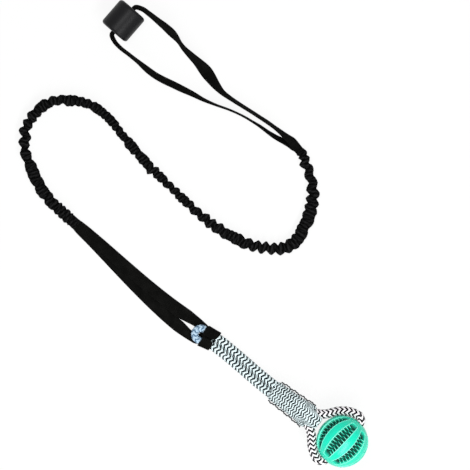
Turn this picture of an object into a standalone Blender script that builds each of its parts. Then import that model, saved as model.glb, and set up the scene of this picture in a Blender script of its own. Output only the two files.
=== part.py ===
"""Bungee tug toy: foam barrel, webbing hand loop, pleated bungee, webbing loop, rope and toothed ball.

The toy lies on the ground (z = 0, metres, +Z up). The origin is on the ground, under the middle
of everything but the bungee. The bungee's route fixes where its two straps start, and each strap,
the rope and the ball are built outwards from there in frames of their own.
"""

import math

import bmesh
import bpy
import numpy as np
from mathutils import Matrix, Vector

# Running gap between pieces that touch
GAP = 0.0003

# Webbing of both straps
WEBBING_WIDTH = 0.017
WEBBING_THICKNESS = 0.0018

# Bungee: the middle of its sleeve, seen from above, from the hand strap to the lower strap
BUNGEE_ROUTE = [
    (0.1084, 0.1119), (0.1097, 0.1104), (0.1110, 0.1088), (0.1151, 0.0997), (0.1203, 0.0850),
    (0.1250, 0.0672), (0.1262, 0.0521), (0.1244, 0.0371), (0.1195, 0.0200), (0.1127, 0.0053),
    (0.1050, -0.0081), (0.0945, -0.0168), (0.0816, -0.0208), (0.0694, -0.0205), (0.0537, -0.0182),
    (0.0389, -0.0150), (0.0187, -0.0056), (0.0008, 0.0041), (-0.0097, 0.0113), (-0.0210, 0.0204),
    (-0.0347, 0.0318), (-0.0486, 0.0454), (-0.0655, 0.0614), (-0.0835, 0.0788), (-0.1008, 0.0960),
    (-0.1200, 0.1184), (-0.1356, 0.1373), (-0.1471, 0.1520), (-0.1631, 0.1668), (-0.1805, 0.1765),
    (-0.2027, 0.1805), (-0.2202, 0.1808), (-0.2385, 0.1742), (-0.2499, 0.1640), (-0.2580, 0.1535),
    (-0.2641, 0.1419), (-0.2650, 0.1296), (-0.2651, 0.1160), (-0.2620, 0.1007), (-0.2553, 0.0856),
    (-0.2476, 0.0688), (-0.2384, 0.0543), (-0.2268, 0.0403), (-0.2122, 0.0266), (-0.1975, 0.0140),
    (-0.1960, 0.0126), (-0.1945, 0.0113),
]
SLEEVE_RADIUS = 0.0085
SLEEVE_NECK_RADIUS = 0.0066
SLEEVE_VALLEY_RADIUS = 0.0049
SLEEVE_BORE_RADIUS = 0.0039
# The pleats on the sleeve's left and right: how far along it each crest lies, how far the crest
# reaches from the sleeve's middle, and how far the valley after it does
LEFT_CRESTS = [
    (0.0265, 0.0078, 0.0042), (0.0469, 0.0081, 0.0049), (0.0622, 0.0096, 0.0052),
    (0.0748, 0.0096, 0.0067), (0.0853, 0.0095, 0.0082), (0.0989, 0.0096, 0.0064),
    (0.1187, 0.0093, 0.0085), (0.1265, 0.0088, 0.0083), (0.1346, 0.0096, 0.0071),
    (0.1448, 0.0094, 0.0059), (0.1554, 0.0093, 0.0043), (0.1666, 0.0090, 0.0034),
    (0.1802, 0.0095, 0.0038), (0.1914, 0.0089, 0.0049), (0.2040, 0.0088, 0.0072),
    (0.2186, 0.0086, 0.0069), (0.2261, 0.0074, 0.0069), (0.2329, 0.0086, 0.0055),
    (0.2489, 0.0081, 0.0045), (0.2584, 0.0085, 0.0043), (0.2723, 0.0075, 0.0035),
    (0.2859, 0.0073, 0.0034), (0.3009, 0.0070, 0.0053), (0.3094, 0.0075, 0.0057),
    (0.3155, 0.0070, 0.0034), (0.3244, 0.0063, 0.0034), (0.3383, 0.0067, 0.0037),
    (0.3482, 0.0068, 0.0055), (0.3567, 0.0071, 0.0034), (0.3662, 0.0096, 0.0062),
    (0.3757, 0.0068, 0.0056), (0.3835, 0.0074, 0.0059), (0.3917, 0.0066, 0.0040),
    (0.4002, 0.0076, 0.0064), (0.4121, 0.0079, 0.0043), (0.4253, 0.0061, 0.0056),
    (0.4318, 0.0066, 0.0042), (0.4417, 0.0064, 0.0048), (0.4498, 0.0069, 0.0057),
    (0.4566, 0.0067, 0.0054), (0.4638, 0.0067, 0.0058), (0.4709, 0.0069, 0.0067),
    (0.4780, 0.0071, 0.0053), (0.4957, 0.0072, 0.0058), (0.5046, 0.0073, 0.0054),
    (0.5131, 0.0081, 0.0077), (0.5188, 0.0087, 0.0042), (0.5335, 0.0074, 0.0050),
    (0.5454, 0.0073, 0.0069), (0.5569, 0.0083, 0.0058), (0.5678, 0.0080, 0.0052),
    (0.5773, 0.0079, 0.0047), (0.5882, 0.0078, 0.0039), (0.6069, 0.0086, 0.0050),
    (0.6164, 0.0069, 0.0038), (0.6283, 0.0078, 0.0059), (0.6474, 0.0091, 0.0079),
    (0.6562, 0.0087, 0.0076), (0.6715, 0.0087, 0.0073), (0.6858, 0.0082, 0.0074),
    (0.6950, 0.0086, 0.0060), (0.7075, 0.0083, 0.0063), (0.7147, 0.0090, 0.0073),
    (0.7208, 0.0085, 0.0079),
]
RIGHT_CRESTS = [
    (0.0180, 0.0095, 0.0034), (0.0360, 0.0079, 0.0038), (0.0558, 0.0090, 0.0045),
    (0.0690, 0.0096, 0.0060), (0.0799, 0.0096, 0.0071), (0.0911, 0.0096, 0.0077),
    (0.1037, 0.0088, 0.0082), (0.1115, 0.0095, 0.0083), (0.1180, 0.0090, 0.0069),
    (0.1268, 0.0096, 0.0071), (0.1404, 0.0095, 0.0057), (0.1527, 0.0090, 0.0044),
    (0.1632, 0.0086, 0.0034), (0.1754, 0.0090, 0.0034), (0.1856, 0.0084, 0.0040),
    (0.1979, 0.0089, 0.0052), (0.2139, 0.0090, 0.0078), (0.2207, 0.0081, 0.0075),
    (0.2264, 0.0080, 0.0068), (0.2315, 0.0075, 0.0057), (0.2441, 0.0093, 0.0044),
    (0.2560, 0.0084, 0.0036), (0.2666, 0.0084, 0.0034), (0.2815, 0.0071, 0.0034),
    (0.2961, 0.0073, 0.0048), (0.3040, 0.0067, 0.0058), (0.3118, 0.0065, 0.0035),
    (0.3210, 0.0069, 0.0035), (0.3332, 0.0063, 0.0035), (0.3454, 0.0069, 0.0060),
    (0.3526, 0.0073, 0.0046), (0.3611, 0.0080, 0.0036), (0.3720, 0.0071, 0.0063),
    (0.3811, 0.0079, 0.0058), (0.4083, 0.0074, 0.0067), (0.4162, 0.0072, 0.0046),
    (0.4260, 0.0061, 0.0042), (0.4355, 0.0064, 0.0045), (0.4451, 0.0068, 0.0057),
    (0.4532, 0.0068, 0.0060), (0.4614, 0.0066, 0.0054), (0.4689, 0.0066, 0.0060),
    (0.4757, 0.0071, 0.0067), (0.4828, 0.0071, 0.0044), (0.4920, 0.0069, 0.0050),
    (0.5005, 0.0072, 0.0057), (0.5103, 0.0080, 0.0069), (0.5161, 0.0078, 0.0060),
    (0.5280, 0.0072, 0.0048), (0.5399, 0.0079, 0.0045), (0.5515, 0.0084, 0.0076),
    (0.5603, 0.0079, 0.0055), (0.5756, 0.0089, 0.0039), (0.5862, 0.0083, 0.0034),
    (0.5970, 0.0090, 0.0034), (0.6123, 0.0090, 0.0041), (0.6270, 0.0079, 0.0047),
    (0.6501, 0.0083, 0.0079), (0.6589, 0.0089, 0.0083), (0.6654, 0.0086, 0.0064),
    (0.6820, 0.0092, 0.0086), (0.6885, 0.0088, 0.0053), (0.7004, 0.0089, 0.0079),
    (0.7075, 0.0085, 0.0060), (0.7177, 0.0077, 0.0068), (0.7252, 0.0079, 0.0076),
    (0.7334, 0.0084, 0.0080),
]
PLEAT_RING_SPACING = 0.0021
END_RINGS = 6
SLEEVE_END_LENGTH = 0.0090
SLEEVE_END_HALF_WIDTH = 0.0064
SLEEVE_END_HALF_HEIGHT = 0.0028
SLEEVE_END_WALL = 0.0010
SLEEVE_RIM_INSET = 0.0015
STRETCH_SECTION_LENGTH = 0.138
CORE_RADIUS = 0.0031
CORE_END_INSET = 0.014
CORE_END_STEP = 0.001
SLEEVE_SIDES = 8
CORE_POINTS = 96

# Hand strap and barrel
HAND_LOOP_LENGTH = 0.2977
HAND_LOOP_SPREAD = 0.034
HAND_LOOP_ANGLE = math.radians(143.57)
BARREL_RADIUS = 0.02175
BARREL_LENGTH = 0.0385
BARREL_DOME = 0.0014
DOME_SHOULDER_SHARE = 0.8
BARREL_EDGE_RADIUS = 0.0025
BARREL_ANGLE = math.radians(49.13)
BARREL_SIDES = 40
LINER_CLEARANCE = 0.0005
LINER_WALL = 0.0020
LINER_CHAMFER = 0.0006
LINER_RECESS = 0.0010
STRAP_STRAIGHT_END = 0.0043
STRAP_SEAT_LENGTH = 0.0040
HAND_JOIN_ANGLE = math.radians(130.0)

# Lower strap and the hitch at its end
LOWER_STRAP_ANGLE = math.radians(-41.9)
HITCH_DISTANCE = 0.2206
SLIT_START = 0.188
SLIT_HALF_GAP = 0.0007
TAIL_ANGLE = math.radians(-36.7)
HITCH_LENGTH = 0.034
HITCH_SIDE_SHIFT = 0.0015
HITCH_FORWARD_SHIFT = 0.0086
HITCH_LEAN = 0.0035
LEAN_START = -0.006
LEAN_LENGTH = 0.024

# Rope
ROPE_RADIUS = 0.0060
ROPE_PINCHED_RADIUS = 0.0048
ROPE_LEG_GAP = 0.0005
ROPE_RISE_START = 0.060
ROPE_SIDES = 8
RING_TURN_RADIUS = 0.0080
RING_START_ANGLE = math.radians(144.0)
ROPE_BALL_GAP = 0.0005
COLLAR_START = 0.129
COLLAR_LENGTH = 0.060
COLLAR_CLEARANCE = 0.0005
COLLAR_WALL = 0.0013
COLLAR_FLARE = 0.0024
COLLAR_RIM_SHARE = 0.55
COLLAR_SHARES = (0.0, 0.04, 0.16, 0.32, 0.48, 0.64, 0.80, 0.96, 1.0)
COLLAR_SIDES = 20

# Ball
BALL_RADIUS = 0.035
BALL_DISTANCE = 0.2447
BALL_POLE_ANGLE = math.radians(46.2)
BORE_RADIUS = 0.0066
BORE_LIP_RADIUS = 0.0016
LIP_ROUND_SHARE = 0.3
CAP_LATITUDE_SHARES = (1.0, 0.88, 0.75)
SLOT_COUNT = 8
SLOT_HALF_WIDTH = 0.0064
SLOT_DEPTH = 0.0050
TOOTH_RECESS = 0.0010
TOOTH_OVERLAP_SHARE = 0.30
SLOT_END_LATITUDE = math.radians(45.0)
SLOT_END_ROUND = math.radians(3.5)
SLOT_END_TAPER = 0.75
SLOT_END_RIM = math.radians(1.5)
SLOT_FOOT_SHARE = 0.94
TEETH_PER_SIDE = 9
SLOT_FIRST_ANGLE = math.radians(-3.5)


def unit(vector):
    """The vector at length one."""
    vector = np.asarray(vector, dtype=float)
    return vector / np.linalg.norm(vector)


def direction(angle):
    """The level direction at an angle from +X."""
    return np.array((math.cos(angle), math.sin(angle), 0.0))


def smooth_step(share):
    """A rise from 0 to 1 that starts and ends level."""
    share = min(max(share, 0.0), 1.0)
    return share * share * (3.0 - 2.0 * share)


def smooth_curve(points, steps, closed=False):
    """A smooth curve through points, however uneven their spacing, with steps to each stretch."""
    points = np.asarray(points, dtype=float)
    if closed:
        points = np.vstack((points[-1], points, points[:2]))
    chords = np.diff(points, axis=0)
    sizes = np.linalg.norm(chords, axis=1)[:, None]
    ways = chords / sizes
    tangents = np.vstack((ways[0], (ways[1:] * sizes[:-1] + ways[:-1] * sizes[1:])
                          / (sizes[1:] + sizes[:-1]), ways[-1]))
    curve = []
    first, last = (1, len(points) - 2) if closed else (0, len(points) - 1)
    for index in range(first, last):
        size = sizes[index]
        for step in range(steps):
            t = step / steps
            rise = t * t * (3.0 - 2.0 * t)
            curve.append(points[index] * (1.0 - rise) + points[index + 1] * rise
                         + size * tangents[index] * t * (1.0 - t) ** 2
                         - size * tangents[index + 1] * t * t * (1.0 - t))
    if not closed:
        curve.append(points[-1])
    return np.array(curve)


def lengths_along(curve):
    """The distance from the curve's start to each of its points."""
    steps = np.linalg.norm(np.diff(curve, axis=0), axis=1)
    return np.concatenate(([0.0], np.cumsum(steps)))


def at_distance(curve, lengths, distance):
    """The point at a distance along a curve."""
    return np.array([np.interp(distance, lengths, curve[:, axis]) for axis in range(3)])


def heading_at(curve, lengths, distance, reach):
    """The curve's direction at a distance, over a short reach each way that ends with the curve."""
    reach = min(reach, max(distance, CORE_END_STEP), max(lengths[-1] - distance, CORE_END_STEP))
    ahead = at_distance(curve, lengths, min(distance + reach, lengths[-1]))
    behind = at_distance(curve, lengths, max(distance - reach, 0.0))
    return unit(ahead - behind)


def headings(points, closed=False):
    """The direction of travel at each point of a route with uneven steps."""
    points = np.asarray(points, dtype=float)
    if closed:
        points = np.vstack((points[-1], points, points[0]))
    steps = np.diff(points, axis=0)
    sizes = np.linalg.norm(steps, axis=1)
    inner = [unit(before / size ** 2 + after / other ** 2) for before, size, after, other
             in zip(steps, sizes, steps[1:], sizes[1:])]
    if closed:
        return inner
    return [unit(steps[0]), *inner, unit(steps[-1])]


def oval_ring(centre, heading, half_width, half_height, sides):
    """Corners of an oval section square to a heading that is nearly level."""
    side = unit(np.cross((0.0, 0.0, 1.0), heading))
    up = np.cross(heading, side)
    turn = [2.0 * math.pi * (index + 0.5) / sides for index in range(sides)]
    return [centre + side * half_width * math.cos(a) + up * half_height * math.sin(a) for a in turn]


def finish_object(name, mesh, material, parent=None, smooth=True):
    """Link a mesh as a named object with its material and shading."""
    mesh.materials.append(material)
    piece = bpy.data.objects.new(name, mesh)
    bpy.context.scene.collection.objects.link(piece)
    piece.parent = parent
    if smooth:
        mesh.shade_smooth()
        mesh.set_sharp_from_angle(angle=math.radians(40.0))
    return piece


def loft(name, rings, material, parent=None, closed=False):
    """A solid skinned over rings of corners; its ends are capped, or joined if it is closed."""
    mesh = bpy.data.meshes.new(name)
    form = bmesh.new()
    corners = [[form.verts.new(point) for point in ring] for ring in rings]
    count = len(corners)
    for index in range(count if closed else count - 1):
        here, there = corners[index], corners[(index + 1) % count]
        for k in range(len(here)):
            n = (k + 1) % len(here)
            form.faces.new((here[k], here[n], there[n], there[k]))
    if not closed:
        form.faces.new(list(reversed(corners[0])))
        form.faces.new(corners[-1])
    bmesh.ops.recalc_face_normals(form, faces=form.faces)
    form.to_mesh(mesh)
    form.free()
    return finish_object(name, mesh, material, parent)


def sleeve_solid(name, outer, bore, material, parent=None):
    """A tube wall: outer rings, bore rings, and a flat rim at each end."""
    mesh = bpy.data.meshes.new(name)
    form = bmesh.new()
    skins = []
    for rings in (outer, bore):
        corners = [[form.verts.new(point) for point in ring] for ring in rings]
        for here, there in zip(corners, corners[1:]):
            for k in range(len(here)):
                n = (k + 1) % len(here)
                form.faces.new((here[k], here[n], there[n], there[k]))
        skins.append(corners)
    for end in (0, -1):
        rim, hole = skins[0][end], skins[1][end]
        for k in range(len(rim)):
            n = (k + 1) % len(rim)
            form.faces.new((rim[k], rim[n], hole[n], hole[k]))
    bmesh.ops.recalc_face_normals(form, faces=form.faces)
    form.to_mesh(mesh)
    form.free()
    return finish_object(name, mesh, material, parent)


def webbing(name, edges, material, parent=None):
    """A flat strap between two edge lines, given as (left, right) points along it."""
    edges = [(np.asarray(left, dtype=float), np.asarray(right, dtype=float)) for left, right in edges]
    middle = [(left + right) / 2.0 for left, right in edges]
    rings = []
    for (left, right), heading in zip(edges, headings(middle)):
        lift = unit(np.cross(heading, left - right)) * WEBBING_THICKNESS / 2.0
        rings.append((left + lift, right + lift, right - lift, left - lift))
    return loft(name, rings, material, parent)


def turned(name, profile, sides, material, parent=None):
    """A solid turned about Z from a closed profile of (radius, height) points."""
    rings = []
    for index in range(sides):
        angle = 2.0 * math.pi * index / sides
        rings.append([(r * math.cos(angle), r * math.sin(angle), z) for r, z in profile])
    return loft(name, rings, material, parent, closed=True)


def arc(centre, radius, start, end, steps):
    """Points on an arc in a plane, both ends included."""
    angles = np.linspace(start, end, steps + 1)
    return [(centre[0] + radius * math.cos(a), centre[1] + radius * math.sin(a)) for a in angles]


def plain_material(name, colour, roughness):
    """A named finish of one colour."""
    material = bpy.data.materials.new(name)
    material.use_nodes = True
    shader = material.node_tree.nodes["Principled BSDF"]
    shader.inputs["Base Color"].default_value = (*colour, 1.0)
    shader.inputs["Roughness"].default_value = roughness
    shader.inputs["Metallic"].default_value = 0.0
    return material


def frame_empty(name, place, angle):
    """An empty that carries the pieces built in a frame of their own."""
    empty = bpy.data.objects.new(name, None)
    bpy.context.scene.collection.objects.link(empty)
    empty.matrix_world = Matrix.Translation(Vector(place)) @ Matrix.Rotation(angle, 4, 'Z')
    return empty


# The bungee

def bungee_curve():
    """The middle of the sleeve as a fine curve, one sleeve radius above the ground."""
    height = SLEEVE_RADIUS * math.cos(math.pi / SLEEVE_SIDES) + GAP
    return smooth_curve([(x, y, height) for x, y in BUNGEE_ROUTE], 12)


def reach_at(crests, distance):
    """How far the sleeve reaches to one side at a distance: a wave through its crests and valleys."""
    reach = SLEEVE_NECK_RADIUS
    for (here, top, valley), (there, next_top, next_valley) in zip(crests, crests[1:]):
        if here <= distance <= there:
            share = (distance - here) / (there - here)
            crest = top if share < 0.5 else next_top
            reach = valley + (crest - valley) * (1.0 + math.cos(2.0 * math.pi * share)) / 2.0
    return max(reach, SLEEVE_VALLEY_RADIUS)


def pleat_stations(total):
    """Distances of the sleeve's rings: on every crest and valley of both sides, but never too close."""
    marks = []
    for crests in (LEFT_CRESTS, RIGHT_CRESTS):
        places = [row[0] for row in crests]
        marks += places + [(here + there) / 2.0 for here, there in zip(places, places[1:])]
    for number in range(END_RINGS):
        inset = SLEEVE_END_LENGTH + PLEAT_RING_SPACING * (number + 0.1)
        marks += [inset, total - inset]
    stations = []
    for mark in sorted(marks):
        if SLEEVE_END_LENGTH < mark < total - SLEEVE_END_LENGTH:
            if not stations or mark - stations[-1] >= PLEAT_RING_SPACING:
                stations.append(mark)
    return stations


def sleeve_ring(curve, lengths, distance):
    """One ring of the sleeve and of its bore; both flatten towards the two sewn ends."""
    total = lengths[-1]
    heading = heading_at(curve, lengths, distance, SLEEVE_NECK_RADIUS)
    side = unit(np.cross((0.0, 0.0, 1.0), heading))
    middle = at_distance(curve, lengths, distance)
    flat = 1.0 - smooth_step(min(distance, total - distance) / SLEEVE_END_LENGTH)
    left, right = reach_at(LEFT_CRESTS, distance), reach_at(RIGHT_CRESTS, distance)
    width = (left + right) / 2.0
    height = min(width, SLEEVE_RADIUS)
    middle[2] += (SLEEVE_END_HALF_HEIGHT + GAP - middle[2]) * flat
    end_width = SLEEVE_END_HALF_WIDTH - SLEEVE_END_WALL
    end_height = SLEEVE_END_HALF_HEIGHT - SLEEVE_END_WALL
    rim = oval_ring(middle + side * (left - right) / 2.0 * (1.0 - flat), heading,
                    width + (SLEEVE_END_HALF_WIDTH - width) * flat,
                    height + (SLEEVE_END_HALF_HEIGHT - height) * flat, SLEEVE_SIDES)
    hole = oval_ring(middle, heading, SLEEVE_BORE_RADIUS + (end_width - SLEEVE_BORE_RADIUS) * flat,
                     SLEEVE_BORE_RADIUS + (end_height - SLEEVE_BORE_RADIUS) * flat, SLEEVE_SIDES)
    return rim, hole


def make_sleeve(name, stations, start, end, curve, lengths, material):
    """The pleated sleeve between two distances along the bungee."""
    inside = [mark for mark in stations if start + SLEEVE_RIM_INSET < mark < end - SLEEVE_RIM_INSET]
    rings = [sleeve_ring(curve, lengths, distance) for distance in [start] + inside + [end]]
    outer, bore = zip(*rings)
    return sleeve_solid(name, outer, bore, material)


def make_core(name, start, end, curve, lengths, material):
    """A stretch of the elastic cord inside the sleeve."""
    count = max(int(CORE_POINTS * (end - start) / lengths[-1]), 12)
    squared = np.linspace(start + CORE_END_STEP, end - CORE_END_STEP, count)
    distances = [start, *squared, end]
    line = bpy.data.curves.new(name, 'CURVE')
    line.dimensions = '3D'
    line.bevel_depth = CORE_RADIUS
    line.bevel_resolution = 2
    line.use_fill_caps = True
    spline = line.splines.new('POLY')
    spline.points.add(len(distances) - 1)
    for index, distance in enumerate(distances):
        spline.points[index].co = (*at_distance(curve, lengths, distance), 1.0)
    line.materials.append(material)
    cord = bpy.data.objects.new(name, line)
    bpy.context.scene.collection.objects.link(cord)
    return cord


def make_bungee():
    """Sleeve and core, each with the last stretch, next to the lower strap, as its own piece."""
    nylon = plain_material("sleeve_nylon", (0.012, 0.012, 0.013), 0.75)
    rubber = plain_material("core_rubber", (0.05, 0.05, 0.05), 0.6)
    curve = bungee_curve()
    lengths = lengths_along(curve)
    total = lengths[-1]
    split = total - STRETCH_SECTION_LENGTH
    stations = pleat_stations(total)
    make_sleeve("bungee_sleeve", stations, 0.0, split - GAP, curve, lengths, nylon)
    make_sleeve("bungee_sleeve_end", stations, split, total, curve, lengths, nylon)
    make_core("bungee_core", CORE_END_INSET, split - GAP, curve, lengths, rubber)
    make_core("bungee_core_end", split, total - CORE_END_INSET, curve, lengths, rubber)


# The hand strap and the barrel

# Stations of the hand strap from the bungee along the lower leg, the barrel and the upper leg:
# share of the way to the barrel, share of the spread, share of the barrel's height, roll in degrees
LOWER_LEG_SHARES = [
    (0.040, 0.010, 0.00, 0.0), (0.063, -0.020, 0.00, 0.0), (0.091, -0.075, 0.00, 3.0),
    (0.126, -0.126, 0.00, 11.0),
    (0.148, -0.142, 0.00, 24.0), (0.169, -0.149, 0.00, 42.0), (0.190, -0.150, 0.00, 62.0),
    (0.215, -0.152, 0.00, 78.0), (0.250, -0.175, 0.00, 83.0), (0.295, -0.215, 0.00, 84.0),
    (0.369, -0.344, 0.00, 84.0), (0.437, -0.520, 0.00, 82.0), (0.491, -0.635, 0.02, 76.0),
    (0.554, -0.720, 0.06, 66.0), (0.600, -0.800, 0.10, 60.0), (0.647, -0.875, 0.16, 58.0),
    (0.690, -0.950, 0.24, 58.0), (0.733, -1.000, 0.34, 60.0), (0.777, -1.005, 0.46, 62.0),
    (0.841, -0.970, 0.66, 74.0), (0.890, -0.955, 0.82, 80.0), (0.942, -0.940, 0.95, 86.0),
    (0.975, -0.880, 1.00, 90.0),
]
UPPER_LEG_SHARES = [
    (0.968, 0.810, 1.00, 90.0), (0.922, 0.829, 0.93, 78.0), (0.880, 0.815, 0.82, 70.0),
    (0.834, 0.799, 0.66, 56.0), (0.786, 0.750, 0.48, 48.0), (0.760, 0.700, 0.38, 62.0),
    (0.735, 0.630, 0.30, 74.0), (0.703, 0.550, 0.20, 70.0), (0.661, 0.490, 0.12, 56.0),
    (0.610, 0.433, 0.06, 36.0), (0.567, 0.350, 0.03, 5.0), (0.525, 0.235, 0.02, -26.0),
    (0.480, 0.110, 0.01, -50.0), (0.442, 0.045, 0.00, -66.0), (0.401, 0.045, 0.00, -72.0),
    (0.347, 0.071, 0.00, -75.0), (0.293, 0.106, 0.00, -76.0), (0.239, 0.138, 0.00, -76.0),
    (0.190, 0.158, 0.00, -75.0), (0.155, 0.162, 0.00, -71.0), (0.133, 0.158, 0.00, -60.0),
    (0.112, 0.148, 0.00, -40.0), (0.091, 0.136, 0.00, -20.0), (0.070, 0.125, 0.00, -9.0),
    (0.050, 0.100, 0.00, 0.0), (0.030, 0.060, 0.00, 0.0),
]
# Between these shares of the way the upper leg steps down from the lower leg to the ground
STEP_DOWN_SHARES = (0.060, 0.118)


def rest_height(slope):
    """Height of the strap's middle where it lies on the ground, rolled by a slope."""
    return (abs(math.sin(slope)) * WEBBING_WIDTH + math.cos(slope) * WEBBING_THICKNESS) / 2.0


def strap_stations(shares, start, along, across, stacked):
    """(middle, roll) of a leg of the hand strap; on the ground it rests on its lower edge."""
    step_start, step_end = STEP_DOWN_SHARES
    stations = []
    for far, wide, lift, roll in shares:
        middle = start + along * HAND_LOOP_LENGTH * far + across * HAND_LOOP_SPREAD * wide
        slope = math.radians(roll)
        rest = rest_height(slope)
        on_ply = 1.0 - smooth_step((far - step_start) / (step_end - step_start))
        middle[2] = rest + stacked * on_ply + (BARREL_RADIUS - rest) * lift
        stations.append((middle, slope))
    return stations


def rolled_edges(stations):
    """The strap's two edge lines from its middle line and its roll."""
    middles = [middle for middle, slope in stations]
    edges = []
    for (middle, slope), heading in zip(stations, headings(middles)):
        side = unit(np.cross((0.0, 0.0, 1.0), heading))
        up = np.cross(heading, side)
        half = (side * math.cos(slope) + up * math.sin(slope)) * WEBBING_WIDTH / 2.0
        edges.append((middle + half, middle - half))
    return edges


def make_hand_strap(start):
    """One length of webbing: bungee, lower leg, through the barrel, upper leg, bungee."""
    material = plain_material("strap_webbing", (0.010, 0.010, 0.010), 0.8)
    along = direction(HAND_LOOP_ANGLE)
    across = direction(HAND_LOOP_ANGLE - math.pi / 2.0)
    stacked = WEBBING_THICKNESS + GAP
    lower = strap_stations(LOWER_LEG_SHARES, start, along, across, 0.0)
    upper = strap_stations(UPPER_LEG_SHARES, start, along, across, stacked)
    centre = start + along * HAND_LOOP_LENGTH
    centre[2] = BARREL_RADIUS
    axis = direction(BARREL_ANGLE)
    reach = BARREL_LENGTH / 2.0
    through = []
    for place in (-reach - STRAP_STRAIGHT_END, -reach, 0.0, reach, reach + STRAP_STRAIGHT_END):
        through.append((centre + axis * place, math.pi / 2.0))
    away = direction(HAND_JOIN_ANGLE)
    half_stack = np.array((0.0, 0.0, WEBBING_THICKNESS / 2.0))
    seat = [start + away * reach + half_stack for reach
            in (GAP, STRAP_SEAT_LENGTH / 2.0, STRAP_SEAT_LENGTH)]
    top_seat = [place + np.array((0.0, 0.0, stacked)) for place in reversed(seat)]
    stations = [(place, 0.0) for place in seat] + lower + through + upper
    stations += [(place, 0.0) for place in top_seat]
    middles = smooth_curve([middle for middle, slope in stations], 3)
    rolls = [slope for middle, slope in stations]
    slopes = np.interp(np.linspace(0, len(rolls) - 1, len(middles)), range(len(rolls)), rolls)
    for middle, slope in zip(middles, slopes):
        middle[2] = max(middle[2], rest_height(slope))
    webbing("hand_strap", rolled_edges(list(zip(middles, slopes))), material)
    return centre


def make_barrel(centre):
    """The foam roller and the hard tube inside it, both turned about the bore."""
    foam = plain_material("barrel_foam", (0.035, 0.035, 0.038), 0.5)
    plastic = plain_material("liner_plastic", (0.03, 0.03, 0.03), 0.35)
    frame = bpy.data.objects.new("barrel_frame", None)
    bpy.context.scene.collection.objects.link(frame)
    frame.matrix_world = (Matrix.Translation(Vector(centre)) @ Matrix.Rotation(BARREL_ANGLE, 4, 'Z')
                          @ Matrix.Rotation(math.pi / 2.0, 4, 'Y'))
    half = BARREL_LENGTH / 2.0
    bore = WEBBING_WIDTH / 2.0 + LINER_CLEARANCE
    wall_top = bore + LINER_WALL
    seat = wall_top + GAP
    edge = BARREL_EDGE_RADIUS
    top = (arc((BARREL_RADIUS - edge, half - edge), edge, 0.0, math.pi / 2.0, 4)
           + [((BARREL_RADIUS + seat) / 2.0, half + BARREL_DOME * DOME_SHOULDER_SHARE),
              (seat + edge, half + BARREL_DOME), (seat, half + BARREL_DOME - edge / 2.0)])
    profile = top + [(r, -z) for r, z in reversed(top)]
    turned("barrel_cover", profile, BARREL_SIDES, foam, frame)
    long = half - LINER_RECESS
    corner = LINER_CHAMFER
    rim = [(wall_top, long - corner), (wall_top - corner, long), (bore + corner, long),
           (bore, long - corner)]
    profile = rim + [(r, -z) for r, z in reversed(rim)]
    turned("barrel_liner", profile, BARREL_SIDES, plastic, frame)


# The lower strap and the hitch

def hitch_origin(start):
    """The place on the ground where the hitch's own frame has its origin."""
    link = start + direction(LOWER_STRAP_ANGLE) * HITCH_DISTANCE
    forward = direction(TAIL_ANGLE) * HITCH_FORWARD_SHIFT
    return link + forward + direction(TAIL_ANGLE + math.pi / 2.0) * HITCH_SIDE_SHIFT


# Stations of each ply of the lower strap, as shares of the way to the bend line
LOWER_STRAP_SHARES = (0.0, 0.12, 0.25, 0.38, 0.5, 0.62, 0.74, 0.83, 0.88, 0.92, 0.96, 1.0)


def make_lower_strap(start, bend_line):
    """Two plies from the bungee, folded there, that fan out side by side at the bend line."""
    material = plain_material("strap_webbing_lower", (0.010, 0.010, 0.010), 0.8)
    first_way = direction(LOWER_STRAP_ANGLE)
    start = start + first_way * (WEBBING_THICKNESS + GAP * 1.5)
    last_way = direction(TAIL_ANGLE)
    reach = float(np.linalg.norm(bend_line - start))
    handle = reach / 3.0
    marks = [start, start + first_way * handle, bend_line - last_way * handle, bend_line]
    half = WEBBING_THICKNESS / 2.0
    ply = WEBBING_THICKNESS + GAP
    fan = WEBBING_WIDTH / 2.0 + SLIT_HALF_GAP
    plies = {1.0: [], -1.0: []}
    for share in LOWER_STRAP_SHARES:
        rest = 1.0 - share
        middle = (marks[0] * rest ** 3 + marks[1] * 3.0 * rest ** 2 * share
                  + marks[2] * 3.0 * rest * share ** 2 + marks[3] * share ** 3)
        way = unit((marks[1] - marks[0]) * rest ** 2 + (marks[2] - marks[1]) * 2.0 * rest * share
                   + (marks[3] - marks[2]) * share ** 2)
        left = np.cross((0.0, 0.0, 1.0), way)
        apart = min(share * reach / SLIT_START, 1.0)
        offset = fan * apart
        fall = apart * ply / (2.0 * fan)
        above = 1.0 - smooth_step((share * reach - SLIT_START) / (reach - SLIT_START))
        heights = {1.0: (ply + fall * (WEBBING_WIDTH - 2.0 * offset), ply - 2.0 * fall * offset),
                   -1.0: (0.0, 0.0)}
        for sign, edges in plies.items():
            centre = middle + left * sign * offset
            inner = centre - left * sign * WEBBING_WIDTH / 2.0
            outer = centre + left * sign * WEBBING_WIDTH / 2.0
            inner[2] = half + heights[sign][0] * above
            outer[2] = half + heights[sign][1] * above
            edges.append((outer, inner) if sign > 0 else (inner, outer))
    fold = []
    for turn in (math.pi * 0.75, math.pi, math.pi * 1.25):
        back = start + first_way * math.cos(turn) * ply / 2.0
        left = np.cross((0.0, 0.0, 1.0), first_way) * WEBBING_WIDTH / 2.0
        back[2] = half + ply / 2.0 + math.sin(turn) * ply / 2.0
        fold.append((back + left, back - left))
    edges = list(reversed(plies[1.0])) + fold + plies[-1.0]
    webbing("lower_strap", edges, material)


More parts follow.
